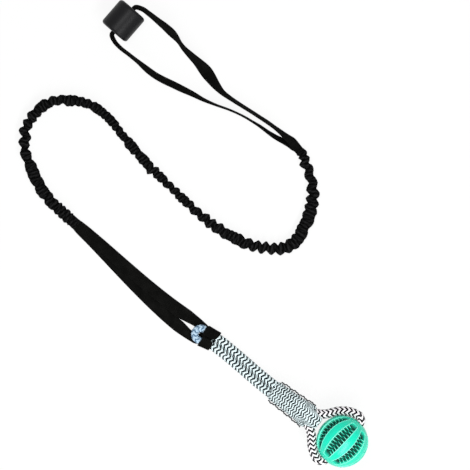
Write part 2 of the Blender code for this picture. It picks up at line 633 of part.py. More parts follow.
# Edges of the webbing from the bend line to under the rope, outer then inner: along as a share of
# the webbing's width, across as a share of the outermost place, height as a share of the highest
HITCH_SHARES = [
    ((-1.530, 1.286, 0.027), (-1.530, 0.089, 0.013)),
    ((-1.090, 1.257, 0.041), (-1.147, 0.149, 0.048)),
    ((-0.647, 1.204, 0.048), (-0.824, 0.178, 0.102)),
    ((-0.235, 1.130, 0.054), (-0.588, 0.178, 0.170)),
    ((0.088, 0.929, 0.068), (-0.441, 0.141, 0.272)),
    ((0.235, 0.558, 0.075), (-0.324, 0.112, 0.401)),
    ((0.294, 0.193, 0.211), (-0.265, 0.097, 0.551)),
    ((0.324, 0.092, 0.483), (-0.206, 0.092, 0.755)),
    ((0.412, 0.090, 0.769), (-0.088, 0.097, 0.973)),
    ((0.588, 0.092, 1.000), (0.000, 0.223, 1.080)),
    ((0.794, 0.149, 1.068), (0.029, 0.483, 1.080)),
    ((0.941, 0.372, 1.054), (0.029, 0.781, 1.020)),
    ((1.000, 0.669, 0.996), (0.029, 1.031, 0.840)),
    ((1.000, 0.942, 0.755), (0.029, 1.110, 0.560)),
    ((1.000, 1.040, 0.449), (0.059, 1.100, 0.279)),
    ((1.000, 0.990, 0.156), (0.265, 1.001, 0.075)),
    ((1.000, 0.818, 0.014), (0.318, 0.818, 0.007)),
    ((1.000, 0.558, 0.000), (0.341, 0.558, 0.000)),
]


def side_shift(along):
    """How far the rope's middle lies to the left: it leans in the hitch, then swings to the ball."""
    rise = smooth_step((along - LEAN_START) / LEAN_LENGTH)
    lean_end = LEAN_START + LEAN_LENGTH
    swing = smooth_step((along - lean_end) / (COLLAR_START - HITCH_FORWARD_SHIFT - lean_end))
    return HITCH_LEAN * rise - (HITCH_LEAN + HITCH_SIDE_SHIFT) * swing


def hitch_edges():
    """Edge lines of the webbing from the bend line, up through the rope's eye, round it and back."""
    low = WEBBING_THICKNESS / 2.0
    side = 2.0 * ROPE_RADIUS + ROPE_LEG_GAP / 2.0 + GAP + low
    over = rope_rise(0.0) + ROPE_RADIUS + GAP
    fan = WEBBING_WIDTH / 2.0 + SLIT_HALF_GAP
    begin = -HITCH_LENGTH + GAP
    half = WEBBING_WIDTH / 2.0
    sides = []
    for sign in (1.0, -1.0):
        rows = [((begin, sign * (fan + half), low), (begin, sign * (fan - half), low))]
        for row in HITCH_SHARES:
            places = [(far * WEBBING_WIDTH, sign * wide * side, low + high * over)
                      for far, wide, high in row]
            rows.append([(x, y + side_shift(x), z) for x, y, z in places])
        sides.append(rows)
    middle = [(x, side_shift(x), low) for x in (row[0] * WEBBING_WIDTH for row in HITCH_SHARES[-1])]
    return sides[0] + [middle] + list(reversed(sides[1]))


def make_hitch(frame):
    """The webbing's end: it passes under the rope's closed end, over its legs and round them."""
    material = plain_material("strap_webbing_hitch", (0.014, 0.011, 0.010), 0.8)
    shift = np.array((HITCH_LENGTH, 0.0, -WEBBING_THICKNESS))
    rows = smooth_curve(np.array([(*left, *right) for left, right in hitch_edges()]), 3)
    rows[:, (2, 5)] = np.maximum(rows[:, (2, 5)], WEBBING_THICKNESS / 2.0)
    edges = [(row[:3] + shift, row[3:] + shift) for row in rows]
    webbing("strap_hitch", edges, material, frame)


# The rope and its collar

def rope_rise(along):
    """Height of the rope's middle: on the hitch's band, then up to the ball's middle."""
    low = WEBBING_THICKNESS + 2.0 * GAP + ROPE_RADIUS
    end = BALL_DISTANCE - HITCH_FORWARD_SHIFT - BALL_RADIUS
    return low + (BALL_RADIUS - low) * smooth_step((along - ROPE_RISE_START) / (end - ROPE_RISE_START))


def leg_spread(along):
    """How far each leg lies from the middle; the legs part inside the collar."""
    share = (along - COLLAR_START + HITCH_FORWARD_SHIFT) / COLLAR_LENGTH
    return ROPE_RADIUS + ROPE_LEG_GAP / 2.0 + COLLAR_FLARE * max(share, 0.0) ** 2


def ring_points(pole, sign):
    """One side of the ring, from the rope's leg to inside the bore, about the ball's middle."""
    radius = BALL_RADIUS + ROPE_BALL_GAP + ROPE_RADIUS
    turn = RING_TURN_RADIUS
    out = math.sqrt((radius - turn) ** 2 - turn ** 2)
    touch = math.atan2(turn, out)
    pole_angle = pole if sign > 0 else pole - math.pi
    start = sign * RING_START_ANGLE
    first = radius * np.array((math.cos(start), math.sin(start)))
    arriving = np.array((math.sin(start), -math.cos(start))) * sign
    last_leg = COLLAR_START + COLLAR_LENGTH - HITCH_FORWARD_SHIFT
    leaving = np.array((last_leg - (BALL_DISTANCE - HITCH_FORWARD_SHIFT), sign * leg_spread(last_leg)))
    parting = unit((COLLAR_LENGTH, sign * 2.0 * COLLAR_FLARE))
    handle = float(np.linalg.norm(first - leaving)) / 3.0
    marks = (leaving, leaving + parting * handle, first - arriving * handle, first)
    points = []
    for share in (0.2, 0.4, 0.6, 0.8):
        rest = 1.0 - share
        points.append(marks[0] * rest ** 3 + marks[1] * 3.0 * rest ** 2 * share
                      + marks[2] * 3.0 * rest * share ** 2 + marks[3] * share ** 3)
    for angle in np.linspace(start, pole_angle + sign * touch, 6):
        points.append(radius * np.array((math.cos(angle), math.sin(angle))))
    axis = np.array((math.cos(pole_angle), math.sin(pole_angle)))
    inward = np.array((-math.sin(pole_angle), math.cos(pole_angle))) * sign
    centre = axis * out + inward * turn
    for share in (0.2, 0.4, 0.6, 0.8, 1.0):
        bend = (math.pi / 2.0 - touch) + (math.pi / 2.0 + touch) * share
        points.append(centre + turn * (axis * math.sin(bend) + inward * math.cos(bend)))
    return points


# The rope's closed end from its middle to the left leg: along, across and lift as shares of its
# pinched radius, the arm's place and the pinched radius, then how far it has filled out again
EYE_SHARES = [
    (-2.67, 0.0, 0.50, 0.0), (-2.35, 0.53, 0.50, 0.0), (-1.63, 0.91, 0.50, 0.0),
    (-0.625, 1.0, 0.46, 0.0), (0.417, 0.985, 0.25, 0.0), (1.46, 0.92, 0.04, 0.17),
    (2.50, 0.80, 0.0, 0.42),
]
EYE_LEG_SHARES = [(3.54, 0.75), (4.58, 1.0)]
EYE_WIDTH_SHARE = 1.22
# Points along each leg of the rope, as shares of the way from the hitch to the collar's end
LEG_POINT_SHARES = (0.12, 0.26, 0.40, 0.52, 0.62, 0.70, 0.78, 0.86, 0.93, 1.0)


def rope_route():
    """The rope's whole middle line in the hitch's frame, with its radius at each point."""
    high = rope_rise(0.0)
    leg = ROPE_RADIUS + ROPE_LEG_GAP / 2.0
    thin = ROPE_PINCHED_RADIUS
    arm = WEBBING_THICKNESS + 2.0 * GAP + EYE_WIDTH_SHARE * thin
    eye = [(far * thin, wide * arm, high + lift * thin, thin + (ROPE_RADIUS - thin) * full)
           for far, wide, lift, full in EYE_SHARES]
    eye += [(far * thin, leg, high, thin + (ROPE_RADIUS - thin) * full) for far, full in EYE_LEG_SHARES]
    first_along = eye[-1][0]
    collar_end = COLLAR_START - HITCH_FORWARD_SHIFT + COLLAR_LENGTH
    legs = eye[1:]
    for share in LEG_POINT_SHARES:
        along = first_along + (collar_end - first_along) * share
        legs.append((along, leg_spread(along), rope_rise(along), ROPE_RADIUS))
    ball = BALL_DISTANCE - HITCH_FORWARD_SHIFT
    pole = BALL_POLE_ANGLE - TAIL_ANGLE
    sides = []
    for sign in (1.0, -1.0):
        side = [(x, side_shift(x) + sign * y, z, r) for x, y, z, r in legs]
        side += [(ball + x, y - HITCH_SIDE_SHIFT, rope_rise(ball + x), ROPE_RADIUS)
                 for x, y in ring_points(pole, sign)]
        sides.append(side)
    bore_start, bore_end = np.array(sides[0][-1]), np.array(sides[1][-1])
    across = [tuple(bore_start + (bore_end - bore_start) * share) for share in (0.25, 0.5, 0.75)]
    tip = (eye[0][0], side_shift(eye[0][0]), *eye[0][2:])
    return [tip] + sides[0] + across + list(reversed(sides[1]))


def make_rope(frame):
    """One endless rope: closed end, two legs, ring, and the strand through the ball."""
    material = plain_material("rope_braid", (0.75, 0.82, 0.83), 0.9)
    fine = smooth_curve(rope_route(), 2, closed=True)
    shift = np.array((HITCH_LENGTH, 0.0, -WEBBING_THICKNESS))
    middles = [point[:3] + shift for point in fine]
    rings = []
    for point, middle, heading in zip(fine, middles, headings(middles, closed=True)):
        rings.append(oval_ring(middle, heading, point[3], point[3], ROPE_SIDES))
    loft("rope_loop", rings, material, frame, closed=True)


def make_collar(frame):
    """The braided sleeve over both legs, wider at the ball."""
    material = plain_material("collar_braid", (0.72, 0.80, 0.81), 0.9)
    begin = COLLAR_START - HITCH_FORWARD_SHIFT
    outer, bore = [], []
    for share in COLLAR_SHARES:
        along = begin + COLLAR_LENGTH * share
        spread = leg_spread(along)
        height = rope_rise(along) - WEBBING_THICKNESS
        slope = rope_rise(along + GAP) - rope_rise(along - GAP)
        heading = unit((2.0 * GAP, 0.0, slope))
        middle = np.array((along + HITCH_LENGTH, side_shift(along), height))
        wall = COLLAR_WALL * (COLLAR_RIM_SHARE if share in (0.0, 1.0) else 1.0)
        hole = ROPE_RADIUS + COLLAR_CLEARANCE
        for rings, radius in ((outer, hole + wall), (bore, hole)):
            rings.append(stadium_ring(middle, heading, spread + radius, radius, COLLAR_SIDES))
    sleeve_solid("rope_collar", outer, bore, material, frame)


def stadium_ring(middle, heading, half_width, radius, sides):
    """Corners of a flat-sided oval: two half circles joined by straight sides."""
    side = np.array((0.0, 1.0, 0.0))
    up = np.cross(heading, side)
    ring = []
    for index in range(sides):
        angle = 2.0 * math.pi * (index + 0.5) / sides
        shift = half_width - radius if math.cos(angle) > 0 else radius - half_width
        ring.append(middle + side * (shift + radius * math.cos(angle)) + up * radius * math.sin(angle))
    return ring


# The ball

def slot_half_angle(latitude):
    """Half the slot's width as an angle about the poles; it closes in a round end."""
    beyond = abs(latitude) - (SLOT_END_LATITUDE - SLOT_END_ROUND)
    width = SLOT_HALF_WIDTH
    if beyond > 0.0:
        share = min(beyond / SLOT_END_ROUND, 1.0)
        width *= math.sqrt(max(1.0 - share * share * SLOT_END_TAPER, 0.0))
    return math.asin(width / (BALL_RADIUS * math.cos(latitude)))


def ball_section(latitude, kind):
    """(angle, radius) round one slot and its petal: kind is cap, left or right."""
    half = slot_half_angle(min(max(latitude, -SLOT_END_LATITUDE), SLOT_END_LATITUDE))
    petal = math.pi / SLOT_COUNT
    reach = half * TOOTH_OVERLAP_SHARE
    top = BALL_RADIUS
    crest = BALL_RADIUS - TOOTH_RECESS
    floor = BALL_RADIUS - SLOT_DEPTH
    if kind == "cap":
        crest = floor = top
    left, right = (crest, floor) if kind == "left" else (floor, crest)
    foot = half * SLOT_FOOT_SHARE
    return [(-half, top), (-foot, left), (-reach, left), (reach, right), (foot, right), (half, top),
            ((half + petal) / 2.0, top), (petal, top)]


def ball_stations():
    """(latitude, kind) of each ring from the south lip to the north lip."""
    lip = math.acos((BORE_RADIUS + BORE_LIP_RADIUS) / BALL_RADIUS)
    end = SLOT_END_LATITUDE
    caps = [lip * share for share in CAP_LATITUDE_SHARES] + [end + SLOT_END_RIM]
    stations = [(-latitude, "cap") for latitude in caps]
    rows = 2 * TEETH_PER_SIDE
    for row in range(rows + 1):
        latitude = -end + 2.0 * end * row / rows
        stations.append((latitude, "left" if row % 2 else "right"))
    stations += [(latitude, "cap") for latitude in reversed(caps)]
    return stations


def make_ball(centre):
    """The ball as one skin: petals and toothed slots outside, the bore and its lips inside."""
    material = plain_material("ball_rubber", (0.02, 0.80, 0.58), 0.35)
    rings = []
    for latitude, kind in ball_stations():
        ring = []
        for slot in range(SLOT_COUNT):
            about = slot * 2.0 * math.pi / SLOT_COUNT + SLOT_FIRST_ANGLE
            for angle, radius in ball_section(latitude, kind):
                turn = about + angle
                ring.append((radius * math.cos(latitude) * math.cos(turn),
                             radius * math.cos(latitude) * math.sin(turn), radius * math.sin(latitude)))
        rings.append(ring)
    turns = [math.atan2(y, x) for x, y, z in rings[0]]
    lip_height = math.sqrt(BALL_RADIUS ** 2 - (BORE_RADIUS + BORE_LIP_RADIUS) ** 2)
    rounding = BORE_LIP_RADIUS * LIP_ROUND_SHARE
    lip = [(BORE_RADIUS + rounding, lip_height - rounding), (BORE_RADIUS, lip_height - BORE_LIP_RADIUS)]
    for radius, height in lip + [(r, -z) for r, z in reversed(lip)]:
        rings.append([(radius * math.cos(a), radius * math.sin(a), height) for a in turns])
    ball = loft("ball", rings, material, closed=True)
    aim = Matrix.Rotation(BALL_POLE_ANGLE, 4, 'Z') @ Matrix.Rotation(math.pi / 2.0, 4, 'Y')
    ball.matrix_world = Matrix.Translation(Vector(centre)) @ aim


# The toy

def build():
    """Make every piece of the toy."""
    for thing in list(bpy.data.objects):
        bpy.data.objects.remove(thing)
    hand_start = np.array((*BUNGEE_ROUTE[0], 0.0))
    tail_start = np.array((*BUNGEE_ROUTE[-1], 0.0))
    make_bungee()
    make_barrel(make_hand_strap(hand_start))
    origin = hitch_origin(tail_start)
    forward = direction(TAIL_ANGLE)
    bend_line = origin - forward * HITCH_LENGTH
    make_lower_strap(tail_start, bend_line)
    frame = frame_empty("bend_frame", bend_line + np.array((0.0, 0.0, WEBBING_THICKNESS)), TAIL_ANGLE)
    make_hitch(frame)
    make_rope(frame)
    make_collar(frame)
    ball_centre = tail_start + direction(LOWER_STRAP_ANGLE) * HITCH_DISTANCE + forward * BALL_DISTANCE
    ball_centre[2] = BALL_RADIUS
    make_ball(ball_centre)


build()
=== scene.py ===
"""Visual scene of a bungee tug toy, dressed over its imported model."""

import math

import bpy
import numpy as np
from mathutils import Matrix, Vector
from mathutils.kdtree import KDTree


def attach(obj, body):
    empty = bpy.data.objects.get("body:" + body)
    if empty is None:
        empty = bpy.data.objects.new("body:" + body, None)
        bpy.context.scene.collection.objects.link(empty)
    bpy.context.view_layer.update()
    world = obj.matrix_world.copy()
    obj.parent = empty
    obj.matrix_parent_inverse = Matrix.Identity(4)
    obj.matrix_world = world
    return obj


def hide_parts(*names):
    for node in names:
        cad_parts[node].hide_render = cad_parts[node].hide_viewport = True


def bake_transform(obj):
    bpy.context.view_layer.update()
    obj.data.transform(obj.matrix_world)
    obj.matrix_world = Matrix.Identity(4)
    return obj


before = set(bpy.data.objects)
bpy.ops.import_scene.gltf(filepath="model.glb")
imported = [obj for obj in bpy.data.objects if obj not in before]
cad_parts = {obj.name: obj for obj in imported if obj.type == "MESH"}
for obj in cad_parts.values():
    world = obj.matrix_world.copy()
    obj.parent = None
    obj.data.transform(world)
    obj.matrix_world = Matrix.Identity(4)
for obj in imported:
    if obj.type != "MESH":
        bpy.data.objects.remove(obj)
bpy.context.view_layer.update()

# 1. Camera
# The toy lies on a white sheet and is photographed from straight above, from far enough away
# that it shows no perspective.

VIEW_MIDDLE = (0.0204, -0.0023)
VIEW_WIDTH = 0.6392
CAMERA_HEIGHT = 12.0
SENSOR_WIDTH = 36.0
CAMERA_REACH = 60.0

camera_data = bpy.data.cameras.new("overhead_camera")
camera_data.sensor_width = SENSOR_WIDTH
camera_data.lens = SENSOR_WIDTH * CAMERA_HEIGHT / VIEW_WIDTH
camera_data.clip_end = CAMERA_REACH
camera = bpy.data.objects.new("overhead_camera", camera_data)
camera.location = (*VIEW_MIDDLE, CAMERA_HEIGHT)
bpy.context.scene.collection.objects.link(camera)
bpy.context.scene.camera = camera
bpy.context.scene.view_settings.view_transform = "Standard"

# 2. Bungee cord
# A woven black nylon tube, gathered over an elastic rubber cord that pulls it into uneven pleats.
# Both ends are pressed flat and sewn to webbing. Its last stretch is a piece of its own, because
# it takes up the stretch of the whole cord.

# The middle of the cord from above, from the hand strap to the lower strap, in millimetres
CORD_ROUTE = [
    (108.4, 111.9), (109.7, 110.4), (111, 108.8), (115.1, 99.7), (120.3, 85), (125, 67.2),
    (126.2, 52.1), (124.4, 37.1), (119.5, 20), (112.7, 5.3), (105, -8.1), (94.5, -16.8),
    (81.6, -20.8), (69.4, -20.5), (53.7, -18.2), (38.9, -15), (18.7, -5.6), (0.8, 4.1),
    (-9.7, 11.3), (-21, 20.4), (-34.7, 31.8), (-48.6, 45.4), (-65.5, 61.4), (-83.5, 78.8),
    (-100.8, 96), (-120, 118.4), (-135.6, 137.3), (-147.1, 152), (-163.1, 166.8), (-180.5, 176.5),
    (-202.7, 180.5), (-220.2, 180.8), (-238.5, 174.2), (-249.9, 164), (-258, 153.5),
    (-264.1, 141.9), (-265, 129.6), (-265.1, 116), (-262, 100.7), (-255.3, 85.6), (-247.6, 68.8),
    (-238.4, 54.3), (-226.8, 40.3), (-212.2, 26.6), (-197.5, 14), (-196, 12.6), (-194.5, 11.3),
]
# The pleats on its left and right, in millimetres: how far along each crest lies, how far the
# crest reaches from the middle, and how far the valley after it does
LEFT_CRESTS = [
    (5, 7.4, 5), (12.6, 7.8, 3.6), (26.5, 7.8, 4.2), (46.9, 8.1, 4.9), (62.2, 9.6, 5.2),
    (74.8, 9.6, 6.7), (85.3, 9.5, 8.2), (98.9, 9.6, 6.4), (118.7, 9.3, 8.5), (126.5, 8.8, 8.3),
    (134.6, 9.6, 7.1), (144.8, 9.4, 5.9), (155.4, 9.3, 4.3), (166.6, 9, 3.4), (180.2, 9.5, 3.8),
    (191.4, 8.9, 4.9), (204, 8.8, 7.2), (218.6, 8.6, 6.9), (226.1, 7.4, 6.9), (232.9, 8.6, 5.5),
    (248.9, 8.1, 4.5), (258.4, 8.5, 4.3), (272.3, 7.5, 3.5), (285.9, 7.3, 3.4), (300.9, 7, 5.3),
    (309.4, 7.5, 5.7), (315.5, 7, 3.4), (324.4, 6.3, 3.4), (338.3, 6.7, 3.7), (348.2, 6.8, 5.5),
    (356.7, 7.1, 3.4), (366.2, 9.6, 6.2), (375.7, 6.8, 5.6), (383.5, 7.4, 5.9), (391.7, 6.6, 4),
    (400.2, 7.6, 6.4), (412.1, 7.9, 4.3), (425.3, 6.1, 5.6), (431.8, 6.6, 4.2), (441.7, 6.4, 4.8),
    (449.8, 6.9, 5.7), (456.6, 6.7, 5.4), (463.8, 6.7, 5.8), (470.9, 6.9, 6.7), (478, 7.1, 5.3),
    (495.7, 7.2, 5.8), (504.6, 7.3, 5.4), (513.1, 8.1, 7.7), (518.8, 8.7, 4.2), (533.5, 7.4, 5),
    (545.4, 7.3, 6.9), (556.9, 8.3, 5.8), (567.8, 8, 5.2), (577.3, 7.9, 4.7), (588.2, 7.8, 3.9),
    (606.9, 8.6, 5), (616.4, 6.9, 3.8), (628.3, 7.8, 5.9), (647.4, 9.1, 7.9), (656.2, 8.7, 7.6),
    (671.5, 8.7, 7.3), (685.8, 8.2, 7.4), (695, 8.6, 6), (707.5, 8.3, 6.3), (714.7, 9.2, 6.9),
    (720.8, 9, 6.8), (729, 9.3, 6.9), (737, 8.8, 7.4),
]
RIGHT_CRESTS = [
    (2.4, 7, 4.8), (9, 7, 4.2), (18, 9.5, 3.4), (36, 7.9, 3.8), (55.8, 9, 4.5), (69, 9.6, 6),
    (79.9, 9.6, 7.1), (91.1, 9.6, 7.7), (103.7, 8.8, 8.2), (111.5, 9.5, 8.3), (118, 9, 6.9),
    (126.8, 9.6, 7.1), (140.4, 9.5, 5.7), (152.7, 9, 4.4), (163.2, 8.6, 3.4), (175.4, 9, 3.4),
    (185.6, 8.4, 4), (197.9, 8.9, 5.2), (213.9, 9, 7.8), (220.7, 8.1, 7.5), (226.4, 8, 6.8),
    (231.5, 7.5, 5.7), (244.1, 9.3, 4.4), (256, 8.4, 3.6), (266.6, 8.4, 3.4), (281.5, 7.1, 3.4),
    (296.1, 7.3, 4.8), (304, 6.7, 5.8), (311.8, 6.5, 3.5), (321, 6.9, 3.5), (333.2, 6.3, 3.5),
    (345.4, 6.9, 6), (352.6, 7.3, 4.6), (361.1, 8, 3.6), (372, 7.1, 6.3), (381.1, 7.9, 5.8),
    (408.3, 7.4, 6.7), (416.2, 7.2, 4.6), (426, 6.1, 4.2), (435.5, 6.4, 4.5), (445.1, 6.8, 5.7),
    (453.2, 6.8, 6), (461.4, 6.6, 5.4), (468.9, 6.6, 6), (475.7, 7.1, 6.7), (482.8, 7.1, 4.4),
    (492, 6.9, 5), (500.5, 7.2, 5.7), (510.3, 8, 6.9), (516.1, 7.8, 6), (528, 7.2, 4.8),
    (539.9, 7.9, 4.5), (551.5, 8.4, 7.6), (560.3, 7.9, 5.5), (575.6, 8.9, 3.9), (586.2, 8.3, 3.4),
    (597, 9, 3.4), (612.3, 9, 4.1), (627, 7.9, 4.7), (650.1, 8.3, 7.9), (658.9, 8.9, 8.3),
    (665.4, 8.6, 6.4), (682, 9.2, 8.6), (688.5, 8.8, 5.3), (700.4, 8.9, 7.9), (707.5, 8.5, 6),
    (717.7, 8.2, 6.6), (725.2, 8.6, 6.8), (733.4, 8.9, 7.2), (740.5, 8.4, 7.6),
]
CORD_STEPS = 12
CORD_HEIGHT = 0.00815
CORD_DIAMETER = 0.016
TOP_REACH = 0.0085
SEWN_LENGTH = 0.006
# Half the width of the flat end at the hand strap and at the lower strap
SEWN_HALF_WIDTHS = (0.0063, 0.0077)
SEWN_HALF_HEIGHT = 0.0028
END_SECTION = 0.138
PLEAT_SPACING = 0.0008
PLEAT_SIDES = 36
GROUND_GAP = 0.0003
FOLD_SPAN = 4
FOLD_RISE = 0.0022
# Folds that run round the gathered tube: length along it, turns round it, depth
FOLDS = [(0.0043, 2, 0.00030), (0.0031, -3, 0.00024), (0.0057, 1, 0.00034), (0.0023, 5, 0.00014),
         (0.0071, -4, 0.00022), (0.0017, -7, 0.00008)]
# How a crest falls to its valley, how far the folds wander and their least share, at the sides
CREST_POWER = 1.6
FOLD_WANDER = 0.37
FOLD_LEAST = 0.3
# Width of a column of yarns, their pitch and their slant
NYLON_WEAVE = (0.0009, 0.0007, 0.8)
# How round a strand of a weave or braid is, across it and towards its ends
STRAND_CROWN = 0.7
STRAND_ENDS = 0.4
CORE_RADIUS = 0.0031
CORE_INSET = 0.014
CORE_SPACING = 0.003
CORE_SIDES = 12


def metres(table):
    """A table of millimetres as an array of metres."""
    return np.array(table, dtype=float) / 1000.0


def smooth_line(points, steps, closed=False):
    """A smooth line through rows of numbers, with steps to each stretch."""
    points = np.asarray(points, dtype=float)
    if closed:
        points = np.vstack((points[-1], points, points[:2]))
    chords = np.diff(points, axis=0)
    sizes = np.linalg.norm(chords, axis=1)[:, None]
    ways = chords / sizes
    bends = (ways[1:] * sizes[:-1] + ways[:-1] * sizes[1:]) / (sizes[1:] + sizes[:-1])
    ways = np.vstack((ways[0], bends, ways[-1]))
    line = []
    first, last = (1, len(points) - 2) if closed else (0, len(points) - 1)
    for index in range(first, last):
        for t in np.arange(steps) / steps:
            rise = t * t * (3.0 - 2.0 * t)
            line.append(points[index] * (1.0 - rise) + points[index + 1] * rise
                        + sizes[index] * ways[index] * t * (1.0 - t) ** 2
                        - sizes[index] * ways[index + 1] * t * t * (1.0 - t))
    line.append(points[first] if closed else points[-1])
    return np.array(line)


def distances(line):
    """How far along a line of points each point lies."""
    return np.concatenate(([0.0], np.cumsum(np.linalg.norm(np.diff(line, axis=0), axis=1))))


def even_rows(line, spacing):
    """The rows of a line at even distances along its first three columns."""
    far = distances(line[:, :3])
    marks = np.linspace(0.0, far[-1], max(round(far[-1] / spacing), 2) + 1)
    return marks, np.column_stack([np.interp(marks, far, column) for column in line.T])


def ease(share):
    """A rise from 0 to 1 that starts and ends level."""
    share = np.clip(share, 0.0, 1.0)
    return share * share * (3.0 - 2.0 * share)


def line_frames(line, closed=False):
    """Heading, left side and upper side at each point of a line."""
    if closed:
        heading = np.roll(line, -1, axis=0) - np.roll(line, 1, axis=0)
    else:
        heading = np.gradient(line, axis=0)
    heading = heading / np.linalg.norm(heading, axis=1)[:, None]
    side = np.cross((0.0, 0.0, 1.0), heading)
    side /= np.linalg.norm(side, axis=1)[:, None]
    return heading, side, np.cross(heading, side)


def skin_over(name, rings, across, along, closed=False, sharp=50.0):
    """A closed skin over rings of points, with its UV map in the units of across and along.

    Across is each column's place, or the whole girth where the columns are evenly spaced.
    """
    rings = np.asarray(rings, dtype=float)
    if closed:
        rings = np.concatenate((rings, rings[:1]))
    else:
        ends = [np.repeat(ring.mean(axis=0)[None], len(ring), axis=0)[None]
                for ring in (rings[0], rings[-1])]
        rings = np.concatenate((ends[0], rings, ends[1]))
        along = np.concatenate(([along[0]], along, [along[-1]]))
    grid = np.concatenate((rings, rings[:, :1]), axis=1)
    rows, columns = grid.shape[:2]
    if np.isscalar(across):
        across = np.linspace(0.0, across, columns)
    bpy.ops.mesh.primitive_grid_add(x_subdivisions=columns - 1, y_subdivisions=rows - 1, size=1.0)
    piece = bpy.context.object
    piece.name = piece.data.name = name
    mesh = piece.data
    mesh.vertices.foreach_set("co", grid.reshape(-1))
    corner = np.empty(len(mesh.loops), dtype=np.int32)
    mesh.loops.foreach_get("vertex_index", corner)
    places = np.column_stack((np.asarray(across)[corner % columns],
                              np.asarray(along)[corner // columns]))
    mesh.uv_layers.active.data.foreach_set("uv", places.reshape(-1))
    bpy.ops.object.mode_set(mode="EDIT")
    bpy.ops.mesh.select_all(action="SELECT")
    bpy.ops.mesh.remove_doubles(threshold=1e-6)
    bpy.ops.mesh.normals_make_consistent(inside=False)
    bpy.ops.object.mode_set(mode="OBJECT")
    bpy.ops.object.shade_smooth_by_angle(angle=math.radians(sharp))
    return piece


def rings_round(middle, frames, wide, high):
    """Rings of points round a line, so far to its side and so far above it."""
    return (middle[:, None] + frames[1][:, None] * wide[..., None]
            + frames[2][:, None] * high[..., None])


def round_cord(name, middle, radius, sides, along, girth=1.0):
    """A round cord along a line."""
    _, side, up = line_frames(middle)
    angle = np.linspace(0.0, 2.0 * math.pi, sides, endpoint=False)[None, :, None]
    rings = middle[:, None] + radius * (side[:, None] * np.cos(angle) + up[:, None] * np.sin(angle))
    return skin_over(name, rings, girth, along)


def finish_of(name, colour, roughness, specular):
    """A new material whose shader has these values."""
    material = bpy.data.materials.new(name)
    material.use_nodes = True
    shader = material.node_tree.nodes["Principled BSDF"].inputs
    shader["Base Color"].default_value = (*colour, 1.0)
    shader["Roughness"].default_value = roughness
    shader["Specular IOR Level"].default_value = specular
    return material


def node(material, kind, inputs=(), **settings):
    """A node added to a material; its inputs are numbers or other nodes' outputs."""
    made = material.node_tree.nodes.new("ShaderNode" + kind)
    for key, value in settings.items():
        setattr(made, key, value)
    for key, value in dict(inputs).items():
        if isinstance(value, bpy.types.NodeSocket):
            material.node_tree.links.new(value, made.inputs[key])
        else:
            made.inputs[key].default_value = value
    return made


def calc(material, operation, *values):
    """The result of a Math node."""
    return node(material, "Math", dict(enumerate(values)), operation=operation).outputs[0]


def noise(material, place, scale, detail):
    """The level of a noise pattern at each place."""
    sizes = {"Vector": place, "Scale": scale, "Detail": detail}
    return node(material, "TexNoise", sizes).outputs[0]


def ranged(material, value, low, high, start=0.0, end=1.0):
    """A number from start to end, as the value goes from low to high."""
    return node(material, "MapRange", {0: value, 1: low, 2: high, 3: start, 4: end}).outputs[0]


def mixed(material, share, first, second):
    """The result of mixing two colours, each three numbers or a node's output."""
    first, second = ((*end, 1.0) if isinstance(end, tuple) else end for end in (first, second))
    return node(material, "Mix", {0: share, 6: first, 7: second}, data_type="RGBA").outputs[2]


def connect(material, **sockets):
    """Outputs linked into the material's shader; spaces in a socket's name are underscores."""
    shader = material.node_tree.nodes["Principled BSDF"]
    for key, output in sockets.items():
        material.node_tree.links.new(output, shader.inputs[key.replace("_", " ")])


def tint(material, share, first, second):
    """The material's colour, mixed from two."""
    connect(material, Base_Color=mixed(material, share, first, second))


def bump(material, height, strength, distance):
    """A height pattern that dents the material's surface."""
    sizes = {"Height": height, "Strength": strength, "Distance": distance}
    connect(material, Normal=node(material, "Bump", sizes).outputs[0])


def skin_place(material):
    """The piece's UV map, and its two numbers: across and along."""
    uv = node(material, "TexCoord").outputs["UV"]
    parts = node(material, "SeparateXYZ", {0: uv})
    return uv, parts.outputs[0], parts.outputs[1]


def plait(material, across, along, column, pitch, slope):
    """Columns of slanting strands, each column against the next, as in a braid or a twill.

    Gives the strands' height, whether a strand is odd or even, and the share across a strand.
    """
    turns = calc(material, "DIVIDE", across, column)
    share = calc(material, "FRACT", turns)
    odd_column = calc(material, "MODULO", calc(material, "FLOOR", turns), 2.0)
    way = calc(material, "MULTIPLY_ADD", odd_column, -2.0, 1.0)
    lean = calc(material, "MULTIPLY", calc(material, "MULTIPLY", way, slope),
                calc(material, "SUBTRACT", share, 0.5))
    strand = calc(material, "ADD", calc(material, "DIVIDE", along, pitch), lean)
    width = calc(material, "FRACT", strand)
    odd = calc(material, "PINGPONG", calc(material, "FLOOR", strand), 1.0)
    crown = calc(material, "SINE", calc(material, "MULTIPLY", width, math.pi))
    length = calc(material, "SINE", calc(material, "MULTIPLY", share, math.pi))
    height = calc(material, "MULTIPLY", calc(material, "POWER", crown, STRAND_CROWN),
                  calc(material, "POWER", length, STRAND_ENDS))
    return height, odd, width


def cord_reach(crests, far):
    """How far the cord reaches to one side at each distance, a wave over its crests and valleys."""
    places, tops, valleys = metres(crests).T
    index = np.clip(np.searchsorted(places, far) - 1, 0, len(places) - 2)
    share = (far - places[index]) / (places[index + 1] - places[index])
    crest = np.where(share < 0.5, tops[index], tops[index + 1])
    off_crest = 2.0 * np.minimum(share, 1.0 - share)
    fall = np.clip(off_crest, 0.0, 1.0) ** CREST_POWER
    reach = valleys[index] + (crest - valleys[index]) * (1.0 - fall)
    return np.where(share < 0.0, tops[0], np.where(share > 1.0, valleys[-1], reach))


def running_mean(rows, span):
    """Each row averaged with the rows around it."""
    padded = np.concatenate((rows[:1].repeat(span, axis=0), rows, rows[-1:].repeat(span, axis=0)))
    sums = np.cumsum(padded, axis=0)
    return (sums[2 * span:] - sums[:-2 * span]) / (2.0 * span)


